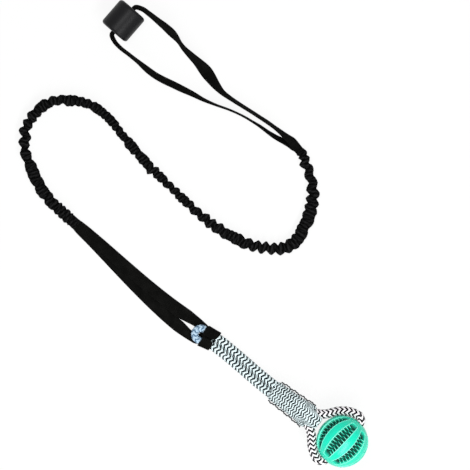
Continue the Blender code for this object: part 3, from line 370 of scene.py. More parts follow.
def shade_points(piece, shades):
    """Store each point's painted shade, from 0 dark in its hollows to 1 pale on its crests."""
    layer = piece.data.attributes.new("shade", "FLOAT", "POINT")
    layer.data.foreach_set("value", np.asarray(shades, dtype=np.float32).reshape(-1))


def point_shade(material):
    """The painted shade stored on the piece's points, in a material."""
    return node(material, "Attribute", attribute_name="shade").outputs["Fac"]


def pleated_rings(middle, far, total):
    """Rings of the gathered tube, their middles, and how far each point's fold stands out, 0 to 1,
    used to paint a highlight on the crests and shade in the hollows.
    """
    flat = 1.0 - ease(np.minimum(far, total - far) / SEWN_LENGTH)[:, None]
    left, right = cord_reach(LEFT_CRESTS, far)[:, None], cord_reach(RIGHT_CRESTS, far)[:, None]
    angle = np.linspace(0.0, 2.0 * math.pi, PLEAT_SIDES, endpoint=False)[None]
    share = (1.0 + np.cos(angle)) / 2.0
    reach = left * share + right * (1.0 - share)
    for length, turns, depth in FOLDS:
        wander = (np.sin(far[:, None] / length * FOLD_WANDER + turns)
                  + far[:, None] * 2.0 * math.pi / length)
        reach = reach + (depth * (1.0 - flat) * np.sin(wander + turns * angle)
                         * (FOLD_LEAST + abs(np.sin(angle))))
    level = running_mean(reach, FOLD_SPAN)
    painted_fold_light = np.clip(0.5 + (reach - level) / FOLD_RISE, 0.0, 1.0)
    half_width = np.where(far < total / 2.0, *SEWN_HALF_WIDTHS)[:, None]
    wide = reach * (1.0 - flat) + half_width * flat
    high = np.minimum(reach, TOP_REACH) * (1.0 - flat) + SEWN_HALF_HEIGHT * flat
    centre = middle.copy()
    centre[:, 2] += ((SEWN_HALF_HEIGHT + GROUND_GAP - CORD_HEIGHT) * flat)[:, 0]
    rings = rings_round(centre, line_frames(middle), wide * np.cos(angle), high * np.sin(angle))
    rings[..., 2] = np.maximum(rings[..., 2], GROUND_GAP)
    return rings, centre, painted_fold_light


cord_line = smooth_line([(x, y, CORD_HEIGHT) for x, y in metres(CORD_ROUTE)], CORD_STEPS)
cord_far, cord_middle = even_rows(cord_line, PLEAT_SPACING)
cord_total = cord_far[-1]
cord_split = cord_total - END_SECTION
split_row = int(np.argmin(abs(cord_far - cord_split)))
cord_rings, cord_centre, cord_painted_fold_light = pleated_rings(cord_middle, cord_far, cord_total)

sleeve, sleeve_end = (
    skin_over(name, cord_rings[rows], CORD_DIAMETER * math.pi, cord_far[rows])
    for name, rows in (("pleated_sleeve", slice(0, split_row + 1)),
                       ("pleated_sleeve_end", slice(split_row, None))))
# Each point of the sleeve keeps how far its fold stands out as its painted shade: a painted
# highlight on the crests, painted shade in the hollows.
fold_tree = KDTree(len(cord_rings) * PLEAT_SIDES)
for index, point in enumerate(cord_rings.reshape(-1, 3)):
    fold_tree.insert(point, index)
fold_tree.balance()
for piece in (sleeve, sleeve_end):
    shade_points(piece, [cord_painted_fold_light.flat[fold_tree.find(corner.co)[1]]
                         for corner in piece.data.vertices])

# The rubber cord inside, a bundle of strands under a thin cover
core_far = np.arange(CORE_INSET, cord_split, CORE_SPACING)
core_end_far = np.arange(cord_split, cord_total - CORE_INSET, CORE_SPACING)
cores = []
for name, far in (("elastic_core", core_far), ("elastic_core_end", core_end_far)):
    middle = np.column_stack([np.interp(far, cord_far, column) for column in cord_middle.T])
    cores.append(round_cord(name, middle, CORE_RADIUS, CORE_SIDES, far,
                            girth=2.0 * math.pi * CORE_RADIUS))
core, core_end = cores

# Black nylon: a fine weave with its yarns painted paler on their crowns, greyer in random patches,
# and painted paler on the fold crests and darker in the hollows: painted highlight and painted
# shade
nylon = finish_of("gathered_nylon", (0.004, 0.004, 0.004), 0.85, 0.01)
uv, across, along = skin_place(nylon)
weave = plait(nylon, across, along, *NYLON_WEAVE)[0]
ruffle = noise(nylon, uv, 330.0, 3.0)
rubbed = ranged(nylon, ruffle, 0.48, 0.72)
# Paler on the fold crests and darker in the hollows between them, painted highlight and painted
# shade; the yarns' crowns are painted paler too.
painted_fold_light = ranged(nylon, point_shade(nylon), 0.4, 1.0)
fold_light_and_wear = calc(nylon, "MULTIPLY", calc(nylon, "MULTIPLY_ADD", weave, 0.6, 0.3),
             calc(nylon, "MULTIPLY_ADD", rubbed, 0.4, painted_fold_light))
tint(nylon, fold_light_and_wear, (0.0018, 0.0018, 0.0018), (0.024, 0.024, 0.025))
bump(nylon, calc(nylon, "MULTIPLY_ADD", ruffle, 2.0, weave), 0.6, 0.0003)
for piece in (sleeve, sleeve_end):
    piece.data.materials.append(nylon)

# Grey-black rubber with the fine lines of its strands
rubber = finish_of("core_rubber", (0.045, 0.045, 0.045), 0.6, 0.3)
lines = node(rubber, "Mapping", {0: skin_place(rubber)[0], 3: (2200.0, 90.0, 1.0)}).outputs[0]
strands = noise(rubber, lines, 1.0, 2.0)
tint(rubber, strands, (0.03, 0.03, 0.03), (0.07, 0.07, 0.068))
bump(rubber, strands, 0.5, 0.0003)
for piece in cores:
    piece.data.materials.append(rubber)

for piece in (sleeve, core):
    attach(piece, "hand_end")
for piece in (sleeve_end, core_end):
    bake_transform(piece)
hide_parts("bungee_sleeve")
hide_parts("bungee_core")
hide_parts("bungee_sleeve_end")
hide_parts("bungee_core_end")

# 3. Hand strap
# One length of flat black webbing. It runs from the bungee through the barrel and back, twisted
# on edge by the way the toy lies, and both its ends are sewn to the bungee's flat end.

# Middle of the strap in millimetres and its roll in degrees, from the bungee round to the bungee
STRAP_STATIONS = [
    (108.2, 112.1, 0.9, 0), (107.1, 113.4, 0.9, 0), (105.8, 115, 0.9, 8), (99, 119.2, 0.9, 34),
    (92.9, 122.5, 0.9, 54), (85.1, 125.9, 1.3, 65), (75.7, 130.7, 2.5, 70), (70.1, 134.2, 4.3, 73),
    (64.9, 137.7, 6.4, 76), (59.9, 141.4, 7.9, 78), (53.8, 145.8, 8.5, 80), (45, 151.3, 8.5, 83),
    (33.4, 158.2, 8.5, 84), (13.1, 167.7, 8.5, 84), (-6.8, 174.9, 8.5, 82), (-22, 181.3, 8.7, 76),
    (-38.8, 190.1, 8.9, 66), (-51.5, 196.1, 9.2, 60), (-64.2, 202.3, 9.9, 58),
    (-76.1, 207.9, 11.1, 58), (-87.4, 214.1, 12.6, 60), (-98, 221.8, 14.3, 62),
    (-112.6, 234, 17.2, 74), (-124.1, 243.1, 19.4, 76), (-136.2, 252.7, 21.1, 75),
    (-142.9, 260.2, 21.8, 74), (-146.5, 270.9, 21.8, 73), (-143.7, 274.1, 21.8, 76),
    (-131.1, 288.7, 21.8, 88), (-118.5, 303.2, 21.8, 76), (-115.7, 306.5, 21.8, 73),
    (-107.1, 305.2, 21.8, 72), (-95.7, 297.6, 20.8, 70), (-85.9, 289.8, 19.3, 66),
    (-75.2, 281.2, 16.9, 58), (-64.7, 271.4, 14, 54), (-59.5, 265.4, 13.2, 64),
    (-54.9, 259.1, 12.4, 74), (-48.9, 251.2, 11, 70), (-40, 242.2, 9.3, 60), (-29, 231.6, 6.7, 44),
    (-20.3, 221.7, 2.2, 12), (-12.6, 211.1, 4.9, -26), (-4.4, 199.8, 7.2, -50),
    (3.4, 191.3, 8.1, -66), (13.3, 184, 8.4, -72), (26.7, 175.2, 8.4, -75), (40.4, 166.6, 8.5, -76),
    (53.9, 157.9, 8.5, -76), (66.1, 149.8, 8.4, -75), (74.5, 143.7, 8.3, -75),
    (79.7, 139.7, 7.8, -72), (84.6, 135.7, 6.2, -68), (89.3, 131.7, 4.7, -62),
    (94.2, 127.7, 4.2, -54), (98.4, 123.5, 3.6, -38), (102.4, 118.8, 3.4, -22), (105.8, 115, 3, -8),
    (107.1, 113.4, 3, 0), (108.2, 112.1, 3, 0),
]
# Each roll is divided by this, so that it counts little in the length of the strap's line
ROLL_SCALE = 40.0
STRAP_STEPS = 8
WEBBING_WIDTH = 0.017
WEBBING_THICKNESS = 0.0018
WEBBING_ROW = 0.0021
WEBBING_WEAVE = (0.00135, 0.0010, 1.1)
# Section of the webbing as shares of half its width and half its thickness: its top and an edge
SECTION_TOP = (-0.93, -0.72, -0.48, -0.24, 0.0, 0.24, 0.48, 0.72, 0.93)
SECTION_EDGE = [(0.985, 0.6), (1.0, 0.0), (0.985, -0.6)]
SEWN_OVERLAP = 0.0025
# Stitched into the sleeve, the webbing is folded in to this share of its width
SEWN_FOLD = 0.70
FOLD_START = 0.004
FOLD_LENGTH = 0.022


def webbing_skin(name, left, right):
    """Webbing between two edge lines, with rounded selvedges."""
    middle, half = (left + right) / 2.0, (left - right) / 2.0
    lift = np.cross(line_frames(middle)[0], half)
    lift *= WEBBING_THICKNESS / 2.0 / np.linalg.norm(lift, axis=1)[:, None]
    section = np.array([(x, 1.0) for x in SECTION_TOP] + SECTION_EDGE
                       + [(-x, -1.0) for x in SECTION_TOP] + [(-x, -y) for x, y in SECTION_EDGE])
    rings = (middle[:, None] + half[:, None] * section[None, :, :1]
             + lift[:, None] * section[None, :, 1:])
    around = np.vstack((section, section[:1])) * (WEBBING_WIDTH / 2.0, WEBBING_THICKNESS / 2.0)
    return skin_over(name, rings, distances(around), distances(middle))


strap_line = smooth_line([(x / 1000.0, y / 1000.0, z / 1000.0, math.radians(roll) / ROLL_SCALE)
                          for x, y, z, roll in STRAP_STATIONS], STRAP_STEPS)
strap_line[(0, -1), :2] -= np.sign(strap_line[(0, -1), :2] - cord_middle[0, :2]) * SEWN_OVERLAP
strap_far, strap_rows = even_rows(strap_line, WEBBING_ROW)
strap_middle, strap_roll = strap_rows[:, :3], strap_rows[:, 3:] * ROLL_SCALE
strap_rest = (np.abs(np.sin(strap_roll)) * WEBBING_WIDTH
              + np.cos(strap_roll) * WEBBING_THICKNESS) / 2.0
strap_middle[:, 2] = np.maximum(strap_middle[:, 2], strap_rest[:, 0])
_, side, up = line_frames(strap_middle)
from_end = np.minimum(strap_far, strap_far[-1] - strap_far)[:, None]
folded = SEWN_FOLD + (1.0 - SEWN_FOLD) * ease((from_end - FOLD_START) / FOLD_LENGTH)
strap_half = (side * np.cos(strap_roll) + up * np.sin(strap_roll)) * folded * WEBBING_WIDTH / 2.0
hand_strap = webbing_skin("hand_strap_webbing", strap_middle + strap_half,
                          strap_middle - strap_half)

# Black webbing: columns of slanting yarns, painted paler on their crowns as a painted sheen, and
# greyer in random patches
webbing = finish_of("black_webbing", (0.004, 0.004, 0.004), 0.85, 0.01)
uv, across, along = skin_place(webbing)
weave = plait(webbing, across, along, *WEBBING_WEAVE)[0]
fuzz = noise(webbing, uv, 900.0, 3.0)
worn = noise(webbing, uv, 60.0, 2.0)
sheen_and_wear = calc(webbing, "MULTIPLY", calc(webbing, "MULTIPLY", weave, worn), fuzz)
tint(webbing, calc(webbing, "MULTIPLY", sheen_and_wear, 2.2), (0.0010, 0.0010, 0.0009), (0.015, 0.015, 0.014))
bump(webbing, calc(webbing, "MULTIPLY_ADD", fuzz, 0.4, weave), 0.7, 0.0003)
hand_strap.data.materials.append(webbing)
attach(hand_strap, "hand_end")
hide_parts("hand_strap")

# Bar tacks of black thread hold the webbing in the sleeve's flat end
TACK_ROWS = (0.0010, 0.0026)
TACK_SHARE = 0.85
TACK_LENGTH = 0.0015
TACK_COUNT = 12
TACK_RISE = 0.0002
THREAD_RADIUS = 0.00021
THREAD_SIDES = 6
THREAD_TWIST = 16000.0


def twisted_yarn(name, colour, roughness, specular, twist, dark, pale, depth):
    """A finish like yarn twisted by this many radians to the metre, its plies painted pale on their
    crowns and dark in the grooves between them: painted shade.
    """
    material = finish_of(name, colour, roughness, specular)
    _, across, along = skin_place(material)
    turn = calc(material, "MULTIPLY", across, 2.0 * math.pi)
    strands = calc(material, "SINE", calc(material, "MULTIPLY_ADD", along, twist, turn))
    tint(material, calc(material, "MULTIPLY_ADD", strands, 0.5, 0.5), dark, pale)
    bump(material, strands, 0.5, depth)
    return material


def copy_of(piece):
    """A copy of a piece, with a mesh of its own."""
    copy = piece.copy()
    copy.data = piece.data.copy()
    bpy.context.scene.collection.objects.link(copy)
    return copy


def join_up(pieces, name):
    """One piece made of several."""
    bpy.ops.object.select_all(action="DESELECT")
    for piece in pieces:
        piece.select_set(True)
    bpy.context.view_layer.objects.active = pieces[0]
    bpy.ops.object.join()
    pieces[0].name = pieces[0].data.name = name
    return pieces[0]


def tacks(name, rows, half_width, body):
    """Rows of stitches on the sleeve's flat end, one stitch copied; each bows up over the cloth."""
    stitch_line = np.array([(x * TACK_LENGTH / 2.0, 0.0, TACK_RISE * (1.0 - 2.0 * x * x))
                            for x in (-1.0, -0.6, 0.0, 0.6, 1.0)])
    stitch = round_cord("stitch", stitch_line, THREAD_RADIUS, THREAD_SIDES, stitch_line[:, 0])
    stitch.data.materials.append(thread)
    copies = []
    for row in rows:
        heading, side, up = (way[1] for way in line_frames(cord_centre[row - 1:row + 2]))
        for number in range(TACK_COUNT):
            share = 2.0 * (number + 0.5) / TACK_COUNT - 1.0
            high = SEWN_HALF_HEIGHT * math.sqrt(1.0 - (share * TACK_SHARE) ** 2)
            place = cord_centre[row] + side * share * TACK_SHARE * half_width + up * high
            turn = np.eye(4)
            turn[:3] = np.column_stack((heading, side, up, place))
            copies.append(copy_of(stitch))
            copies[-1].data.transform(Matrix(turn.tolist()))
    bpy.data.objects.remove(stitch)
    joined = join_up(copies, name)
    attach(joined, body)


thread = twisted_yarn("polyester_thread", (0.006, 0.006, 0.006), 0.6, 0.1, THREAD_TWIST,
                      (0.002, 0.002, 0.002), (0.014, 0.014, 0.014), depth=0.0001)
first_rows = [round(far / PLEAT_SPACING) for far in TACK_ROWS]
last_rows = [len(cord_centre) - 1 - row for row in first_rows]
tacks("hand_end_tacks", first_rows, SEWN_HALF_WIDTHS[0], "hand_end")
tacks("tail_end_tacks", last_rows, SEWN_HALF_WIDTHS[1], "tail")

# 4. Barrel
# A roller of dense black foam on a hard plastic tube, which the hand strap runs through. The foam
# is moulded with rounded rims and slightly domed ends.

BARREL_MIDDLE = (-0.131124, 0.288686, 0.02175)
BARREL_ANGLE = math.radians(49.13)
BARREL_RADIUS = 0.02175
BARREL_LENGTH = 0.0385
BARREL_BORE = 0.0113
BARREL_RIM = 0.0025
BARREL_DOME = 0.0014
BARREL_SIDES = 96
RIM_SEGMENTS = 5
# Rings of face at the barrel's end: round its edge and round its bore
EDGE_BAND = 0.0040
BORE_BAND = 0.0015
# Nearer to the bore than this, the end is domed by only this share
BORE_MARGIN = 0.0005
BORE_DOME_SHARE = 0.1


def laid_down(middle, angle):
    """The place of a piece modelled upright, its axis laid level at this angle."""
    return (Matrix.Translation(Vector(middle)) @ Matrix.Rotation(angle, 4, "Z")
            @ Matrix.Rotation(math.pi / 2.0, 4, "Y"))


bpy.ops.mesh.primitive_cylinder_add(vertices=BARREL_SIDES, radius=BARREL_RADIUS,
                                    depth=BARREL_LENGTH)
barrel = bpy.context.object
barrel.name = barrel.data.name = "foam_barrel"
bpy.ops.object.mode_set(mode="EDIT")
bpy.ops.mesh.select_mode(type="FACE")
bpy.ops.mesh.select_all(action="DESELECT")
bpy.ops.object.mode_set(mode="OBJECT")
for face in barrel.data.polygons:
    face.select = abs(face.normal.z) > 0.9
bpy.ops.object.mode_set(mode="EDIT")
for band in (EDGE_BAND, BARREL_RADIUS - BARREL_BORE - EDGE_BAND - BORE_BAND, BORE_BAND):
    bpy.ops.mesh.inset(thickness=band)
bpy.ops.mesh.bridge_edge_loops()
bpy.ops.object.mode_set(mode="OBJECT")
for corner in barrel.data.vertices:
    radius = math.hypot(corner.co.x, corner.co.y)
    if radius < BARREL_RADIUS - BARREL_RIM:
        share = 1.0 if radius > BARREL_BORE + BORE_MARGIN else BORE_DOME_SHARE
        corner.co.z += math.copysign(BARREL_DOME * share, corner.co.z)
bevel = barrel.modifiers.new("rounded_rims", "BEVEL")
bevel.width = BARREL_RIM
bevel.segments = RIM_SEGMENTS
bevel.limit_method = "ANGLE"
bevel.angle_limit = math.radians(50.0)
bpy.ops.object.modifier_apply(modifier=bevel.name)
bpy.ops.object.shade_smooth_by_angle(angle=math.radians(40.0))
barrel.data.transform(laid_down(BARREL_MIDDLE, BARREL_ANGLE))

# Charcoal foam: a closed skin with fine pores and a faint mottling
foam = finish_of("charcoal_foam", (0.003, 0.003, 0.004), 0.42, 0.15)
place = node(foam, "TexCoord").outputs["Object"]
pores = node(foam, "TexVoronoi", {"Vector": place, "Scale": 1500.0}).outputs["Distance"]
cloud = noise(foam, place, 140.0, 4.0)
tint(foam, cloud, (0.002, 0.002, 0.0026), (0.0055, 0.0055, 0.0066))
bump(foam, calc(foam, "MULTIPLY_ADD", cloud, 1.5, pores), 0.12, 0.0003)
barrel.data.materials.append(foam)
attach(barrel, "barrel")
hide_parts("barrel_cover")

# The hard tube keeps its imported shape
plastic = finish_of("liner_plastic", (0.012, 0.012, 0.013), 0.42, 0.25)
grain = noise(plastic, node(plastic, "TexCoord").outputs["Object"], 900.0, 3.0)
connect(plastic, Roughness=ranged(plastic, grain, 0.0, 1.0, 0.35, 0.55))
bump(plastic, grain, 0.15, 0.0002)
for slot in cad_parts["barrel_liner"].material_slots:
    slot.material = plastic

# 5. Lower strap and hitch
# One length of the same webbing, both ends sewn into the bungee's flat end. Its two plies lie on
# each other there, fan out side by side, pass up through the rope's eye and down round its legs.

# Left and right edge of the webbing in millimetres, from the bungee out, round the rope and back
LOOP_EDGES = [
    (-192.2, 18.1, 3.2, -201.2, 8.3, 3.2), (-189.3, 16.9, 3.1, -199.6, 5.6, 3.1),
    (-184.4, 13.5, 3, -196, 1.1, 3), (-169.2, 1.2, 3, -180.8, -11.2, 3.2),
    (-150, -15.3, 2.9, -161.8, -27.6, 3.4), (-131, -31.9, 2.7, -142.8, -44.1, 3.4),
    (-113.6, -47, 2.4, -125.3, -59.4, 3.4), (-96.1, -61.9, 2.1, -107.6, -74.4, 3.4),
    (-78.4, -76.3, 1.8, -89.6, -89.1, 3.3), (-64.9, -86.8, 1.5, -76.4, -100.4, 3.1),
    (-57.4, -92.4, 1.3, -68.9, -106.6, 3), (-51.3, -96.8, 1.1, -62.7, -111.2, 3),
    (-45.2, -101.1, 1, -56.3, -115.5, 2.9), (-39.1, -105.5, 0.9, -49.2, -119.1, 0.9),
    (-33, -110.5, 1.3, -42.1, -122.7, 1.1), (-27.3, -115.3, 1.5, -36.2, -125.7, 1.6),
    (-21.7, -120.4, 1.6, -32.1, -129.4, 2.4), (-16.6, -125.3, 1.7, -29.1, -132.1, 3.4),
    (-13.4, -130.2, 1.9, -28.2, -135.2, 4.9), (-14, -135.3, 2, -26.8, -136.6, 6.8),
    (-16.2, -139.9, 4, -26, -137.1, 9), (-16.6, -141.2, 8, -25.2, -137.7, 12),
    (-15.2, -141.9, 12.2, -23.6, -138.1, 15.2), (-12.2, -143.2, 15.6, -23.2, -135.1, 16.8),
    (-8.6, -144.3, 16.6, -21.2, -132.1, 16.8), (-4.6, -143.1, 16.4, -19, -128.7, 15.9),
    (-1.4, -140.1, 15.5, -16.6, -126.3, 13.2), (0.8, -137.2, 12, -15, -126.2, 9.1),
    (1.6, -136.1, 7.5, -13.4, -127.3, 5), (1.2, -136.7, 3.2, -10, -130.7, 2),
    (-0.2, -138.5, 1.1, -10.6, -133.1, 1), (-2.3, -141.3, 0.9, -12.4, -136, 0.9),
    (-6.8, -147.3, 0.9, -16.8, -142.1, 0.9), (-11.3, -153.3, 0.9, -21.3, -148.1, 0.9),
    (-13.4, -156.1, 1.1, -23.8, -150.7, 1), (-14.8, -158, 3.2, -26.1, -152.3, 2),
    (-15.2, -158.5, 7.5, -30.1, -151.8, 5), (-14.4, -157.5, 12, -30.7, -151.7, 9.1),
    (-12.2, -154.5, 15.5, -30, -150.9, 13.2), (-10.6, -150.8, 16.4, -28, -148.2, 15.9),
    (-11, -146.8, 16.6, -25.6, -144.8, 16.8), (-13.6, -144.5, 15.6, -24, -141.7, 16.8),
    (-16.2, -143.2, 12.2, -23.9, -138.7, 15.2), (-17.7, -142.6, 8, -25.4, -138, 12),
    (-18.9, -143.5, 4, -26.3, -137.5, 9), (-23, -147.3, 2, -27.2, -136.9, 6.8),
    (-28.3, -150.2, 1.9, -28.9, -135.9, 4.9), (-34.8, -149.7, 1.7, -32.3, -136.2, 3.4),
    (-41, -146.4, 1.6, -35.8, -134.2, 2.4), (-47.5, -142.4, 1.5, -40, -130.8, 1.6),
    (-53.7, -138.3, 1.3, -44.6, -126, 1.1), (-60.2, -133.9, 0.9, -50.1, -120.3, 0.9),
    (-66.6, -128.9, 0.9, -56.3, -115.4, 0.9), (-72.7, -123.7, 0.9, -62.1, -110.4, 0.9),
    (-78.6, -118.5, 0.9, -67.9, -105.3, 0.9), (-85.9, -111.8, 0.9, -75, -98.8, 0.9),
    (-98.8, -99.6, 0.9, -87.6, -86.8, 0.9), (-115.5, -83, 0.9, -104, -70.5, 0.9),
    (-131.8, -66.2, 0.9, -120.1, -53.9, 0.9), (-147.8, -49.3, 0.9, -136, -37, 0.9),
    (-165, -31, 0.9, -153.3, -18.7, 0.9), (-182.3, -12.9, 0.9, -170.7, -0.5, 0.9),
    (-196, 1.1, 0.9, -184.4, 13.5, 0.9), (-199.6, 5.6, 1.1, -189.3, 16.9, 1.1),
    (-201.2, 8.3, 1.3, -192.2, 18.1, 1.3),
]
LOOP_STEPS = 5

loop_rows = smooth_line(metres(LOOP_EDGES), LOOP_STEPS)
loop_rows[:, (2, 5)] = np.maximum(loop_rows[:, (2, 5)], WEBBING_THICKNESS / 2.0)
loop = webbing_skin("lower_webbing_loop", loop_rows[:, :3], loop_rows[:, 3:])
loop.data.materials.append(webbing)
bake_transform(loop)
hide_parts("lower_strap", "strap_hitch")

# 6. Rope
# One endless round braid of cotton yarn, pale with dark yarns that show as zigzags. Its closed end
# holds the webbing, its two legs run side by side, and its ring passes through the ball.

# Middle of the rope and its radius in millimetres, once round
ROPE_ROUTE = [
    (-32.8, -132.3, 10.8, 4.8), (-28.9, -129.7, 10.8, 4.8), (-24.3, -129.3, 10.8, 4.8),
    (-19.9, -131.4, 10.6, 4.8), (-15.5, -133.9, 9.6, 4.8), (-11.2, -136.5, 8.6, 5),
    (-7.2, -139.5, 8.4, 5.3), (-3.1, -142.3, 8.4, 5.7), (0.9, -145.3, 8.4, 6),
    (15.8, -157.2, 8.4, 6), (32.7, -171.5, 8.4, 6), (49.6, -186.1, 10.7, 6),
    (64.2, -198.3, 14.6, 6), (76.7, -208, 18.8, 6), (86.9, -215.5, 22.4, 6),
    (97.3, -222.8, 25.9, 6), (107.8, -229.9, 29.1, 6), (117, -236.1, 31.6, 6),
    (126.4, -242, 33.5, 6), (131.3, -244.2, 34.1, 6), (136.8, -245.1, 34.6, 6),
    (142.5, -245, 34.9, 6), (148.1, -244.1, 35, 6), (153.5, -242.6, 35, 6), (160.2, -241.2, 35, 6),
    (167.1, -240.8, 35, 6), (173.9, -241.5, 35, 6), (180.4, -243.4, 35, 6), (186.6, -246.3, 35, 6),
    (188.8, -248.2, 35, 6), (190.2, -250.7, 35, 6), (190.6, -253.6, 35, 6), (190, -256.4, 35, 6),
    (188.4, -258.8, 35, 6), (177.1, -270.5, 35, 6), (165.9, -282.3, 35, 6), (154.6, -294, 35, 6),
    (143.4, -305.7, 35, 6), (141, -307.4, 35, 6), (138.3, -308.2, 35, 6), (135.4, -307.9, 35, 6),
    (132.8, -306.6, 35, 6), (130.8, -304.5, 35, 6), (128.5, -300.3, 35, 6), (126.7, -295.9, 35, 6),
    (125.4, -291.3, 35, 6), (124.6, -286.5, 35, 6), (124.4, -281.8, 35, 6), (124.2, -276.2, 35, 6),
    (123.5, -270.5, 34.9, 6), (122, -265, 34.6, 6), (119.6, -260, 34.1, 6),
    (116.1, -255.9, 33.5, 6), (107.7, -248.6, 31.6, 6), (99.1, -241.5, 29.1, 6),
    (89.3, -233.5, 25.9, 6), (79.3, -225.7, 22.4, 6), (69.2, -218, 18.8, 6),
    (56.7, -208.3, 14.6, 6), (42.1, -196.1, 10.7, 6), (25.3, -181.6, 8.4, 6), (8.3, -167.2, 8.4, 6),
    (-6.5, -155.3, 8.4, 6), (-10.5, -152.3, 8.4, 5.7), (-15.1, -150.1, 8.4, 5.3),
    (-20.3, -148.7, 8.6, 5), (-25.2, -146.9, 9.6, 4.8), (-29.8, -144.7, 10.6, 4.8),
    (-33.3, -141.3, 10.8, 4.8), (-34.2, -136.7, 10.8, 4.8),
]
ROPE_STEPS = 8
ROPE_SIDES = 60
ROPE_ROW = 0.00055
ROPE_RADIUS = 0.006
ROPE_GIRTH = 2.0 * math.pi * ROPE_RADIUS
LEG_COLUMNS = 8
LEG_PITCH = 0.0028
LEG_SLOPE = 1.0
RING_COLUMNS = 8
RING_PITCH = 0.0031
RING_SLOPE = 1.35
STRAND_DEPTH = 0.0007
STRAND_PROUD = 0.0003
RING_START = 0.190
EYE_END = 0.021
PALE_YARN = (0.84, 0.98, 1.0)
DARK_YARN = (0.002, 0.007, 0.009)
# At the rope's eye the same yarns are painted dimmer and bluer, with less contrast: painted shade.
EYE_SHADED_PALE_YARN = (0.52, 0.70, 0.86)
EYE_SHADED_DARK_YARN = (0.10, 0.19, 0.30)
RING_PALE_YARN = (1.0, 0.97, 0.99)
RING_DARK_YARN = (0.002, 0.002, 0.004)
# How dark a pale strand is painted in the creases as painted shade, and over what height and noise
# a dark one fades in
CREASE_SHADE = 0.72
FADE_HEIGHT = 0.15
FADE_NOISE = 0.05


def plait_height(turns, along, columns, pitch, slope):
    """How high the strands of a braid stand at turns round it and a distance along it, 0 to 1."""
    cell = turns * columns + 0.5
    share = cell % 1.0
    way = 1.0 - 2.0 * (np.floor(cell) % 2.0)
    width = (along / pitch + way * slope * (share - 0.5)) % 1.0
    return np.sin(math.pi * width) ** STRAND_CROWN * np.sin(math.pi * share) ** STRAND_ENDS


def braid_finish(name, sizes, pale, dark, straying, broken, crease):
    """Cotton braid: pale and dark strands by turns, each of twisted yarns, with painted shade in
    the creases.

    The sizes are a column's width and the strands' pitch and slant. Straying is how far the
    strands wander. A dark one shows where it stands above crease and a noise is above broken.
    """
    material = finish_of(name, pale, 0.9, 0.1)
    uv, across, along = skin_place(material)
    wander = noise(material, uv, 420.0, 1.0)
    aside = calc(material, "SUBTRACT", wander, 0.5)
    strayed = calc(material, "MULTIPLY_ADD", aside, straying, along)
    shifted = calc(material, "ADD", across, sizes[0] / 2.0)
    height, odd, width = plait(material, shifted, strayed, *sizes)
    fibre = noise(material, uv, 3200.0, 2.0)
    yarns = calc(material, "SINE", calc(material, "MULTIPLY", width, 8.0 * math.pi))
    shade = calc(material, "MULTIPLY_ADD", height, 0.8, calc(material, "MULTIPLY", fibre, 0.5))
    pale_with_painted_shade = mixed(material, shade, tuple(level * CREASE_SHADE for level in pale), pale)
    edge = ranged(material, height, crease, crease + FADE_HEIGHT)
    whole = ranged(material, wander, broken - FADE_NOISE, broken)
    dark_share = calc(material, "MULTIPLY", calc(material, "MULTIPLY", odd, edge), whole)
    tint(material, dark_share, pale_with_painted_shade, dark)
    relief = calc(material, "MULTIPLY_ADD", yarns, 0.16,
                  calc(material, "MULTIPLY_ADD", fibre, 0.4, height))
    bump(material, relief, 0.5, 0.0005)
    return material


rope_line = smooth_line(metres(ROPE_ROUTE), ROPE_STEPS, closed=True)
rope_far, rope_rows = even_rows(rope_line, ROPE_ROW)
rope_total = rope_far[-1]
# Whole pairs of strands fit round the endless rope
leg_pitch = rope_total / 2.0 / round(rope_total / 2.0 / LEG_PITCH)
rope_middle, rope_radius = rope_rows[:-1, :3], rope_rows[:-1, 3:]
turn = np.linspace(0.0, 1.0, ROPE_SIDES, endpoint=False)[None]
from_middle = np.minimum(rope_far, rope_total - rope_far)[:-1, None]
height = np.where(from_middle > RING_START,
                  plait_height(turn, rope_far[:-1, None], RING_COLUMNS, RING_PITCH, RING_SLOPE),
                  plait_height(turn, rope_far[:-1, None], LEG_COLUMNS, leg_pitch, LEG_SLOPE))
reach = rope_radius + STRAND_PROUD - STRAND_DEPTH * (1.0 - height)
angle = 2.0 * math.pi * turn
rope_rings = rings_round(rope_middle, line_frames(rope_middle, closed=True),
                         reach * np.cos(angle), reach * np.sin(angle))
rope = skin_over("braided_rope", rope_rings, ROPE_GIRTH, rope_far, closed=True, sharp=180.0)
leg_sizes = (ROPE_GIRTH / LEG_COLUMNS, leg_pitch, LEG_SLOPE)
ring_sizes = (ROPE_GIRTH / RING_COLUMNS, RING_PITCH, RING_SLOPE)
for braid in (("rope_eye_shaded_braid", leg_sizes, EYE_SHADED_PALE_YARN, EYE_SHADED_DARK_YARN, 0.0012, 0.4, 0.25),
              ("rope_leg_braid", leg_sizes, PALE_YARN, DARK_YARN, 0.0012, 0.30, 0.08),
              ("rope_ring_braid", ring_sizes, RING_PALE_YARN, RING_DARK_YARN, 0.0008, 0.1, 0.02)):
    rope.data.materials.append(braid_finish(*braid))
uv_along = rope.data.uv_layers.active.data
for face in rope.data.polygons:
    far = uv_along[face.loop_start].uv[1]
    face.material_index = int(np.searchsorted((EYE_END, RING_START), min(far, rope_total - far)))
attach(rope, "rope_end")
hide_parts("rope_loop")

# 7. Collar
# A sleeve of finer braid, pulled over both legs of the rope where they part for the ball. Its two
# long edges are overlocked with dark yarn, and its ends fray.

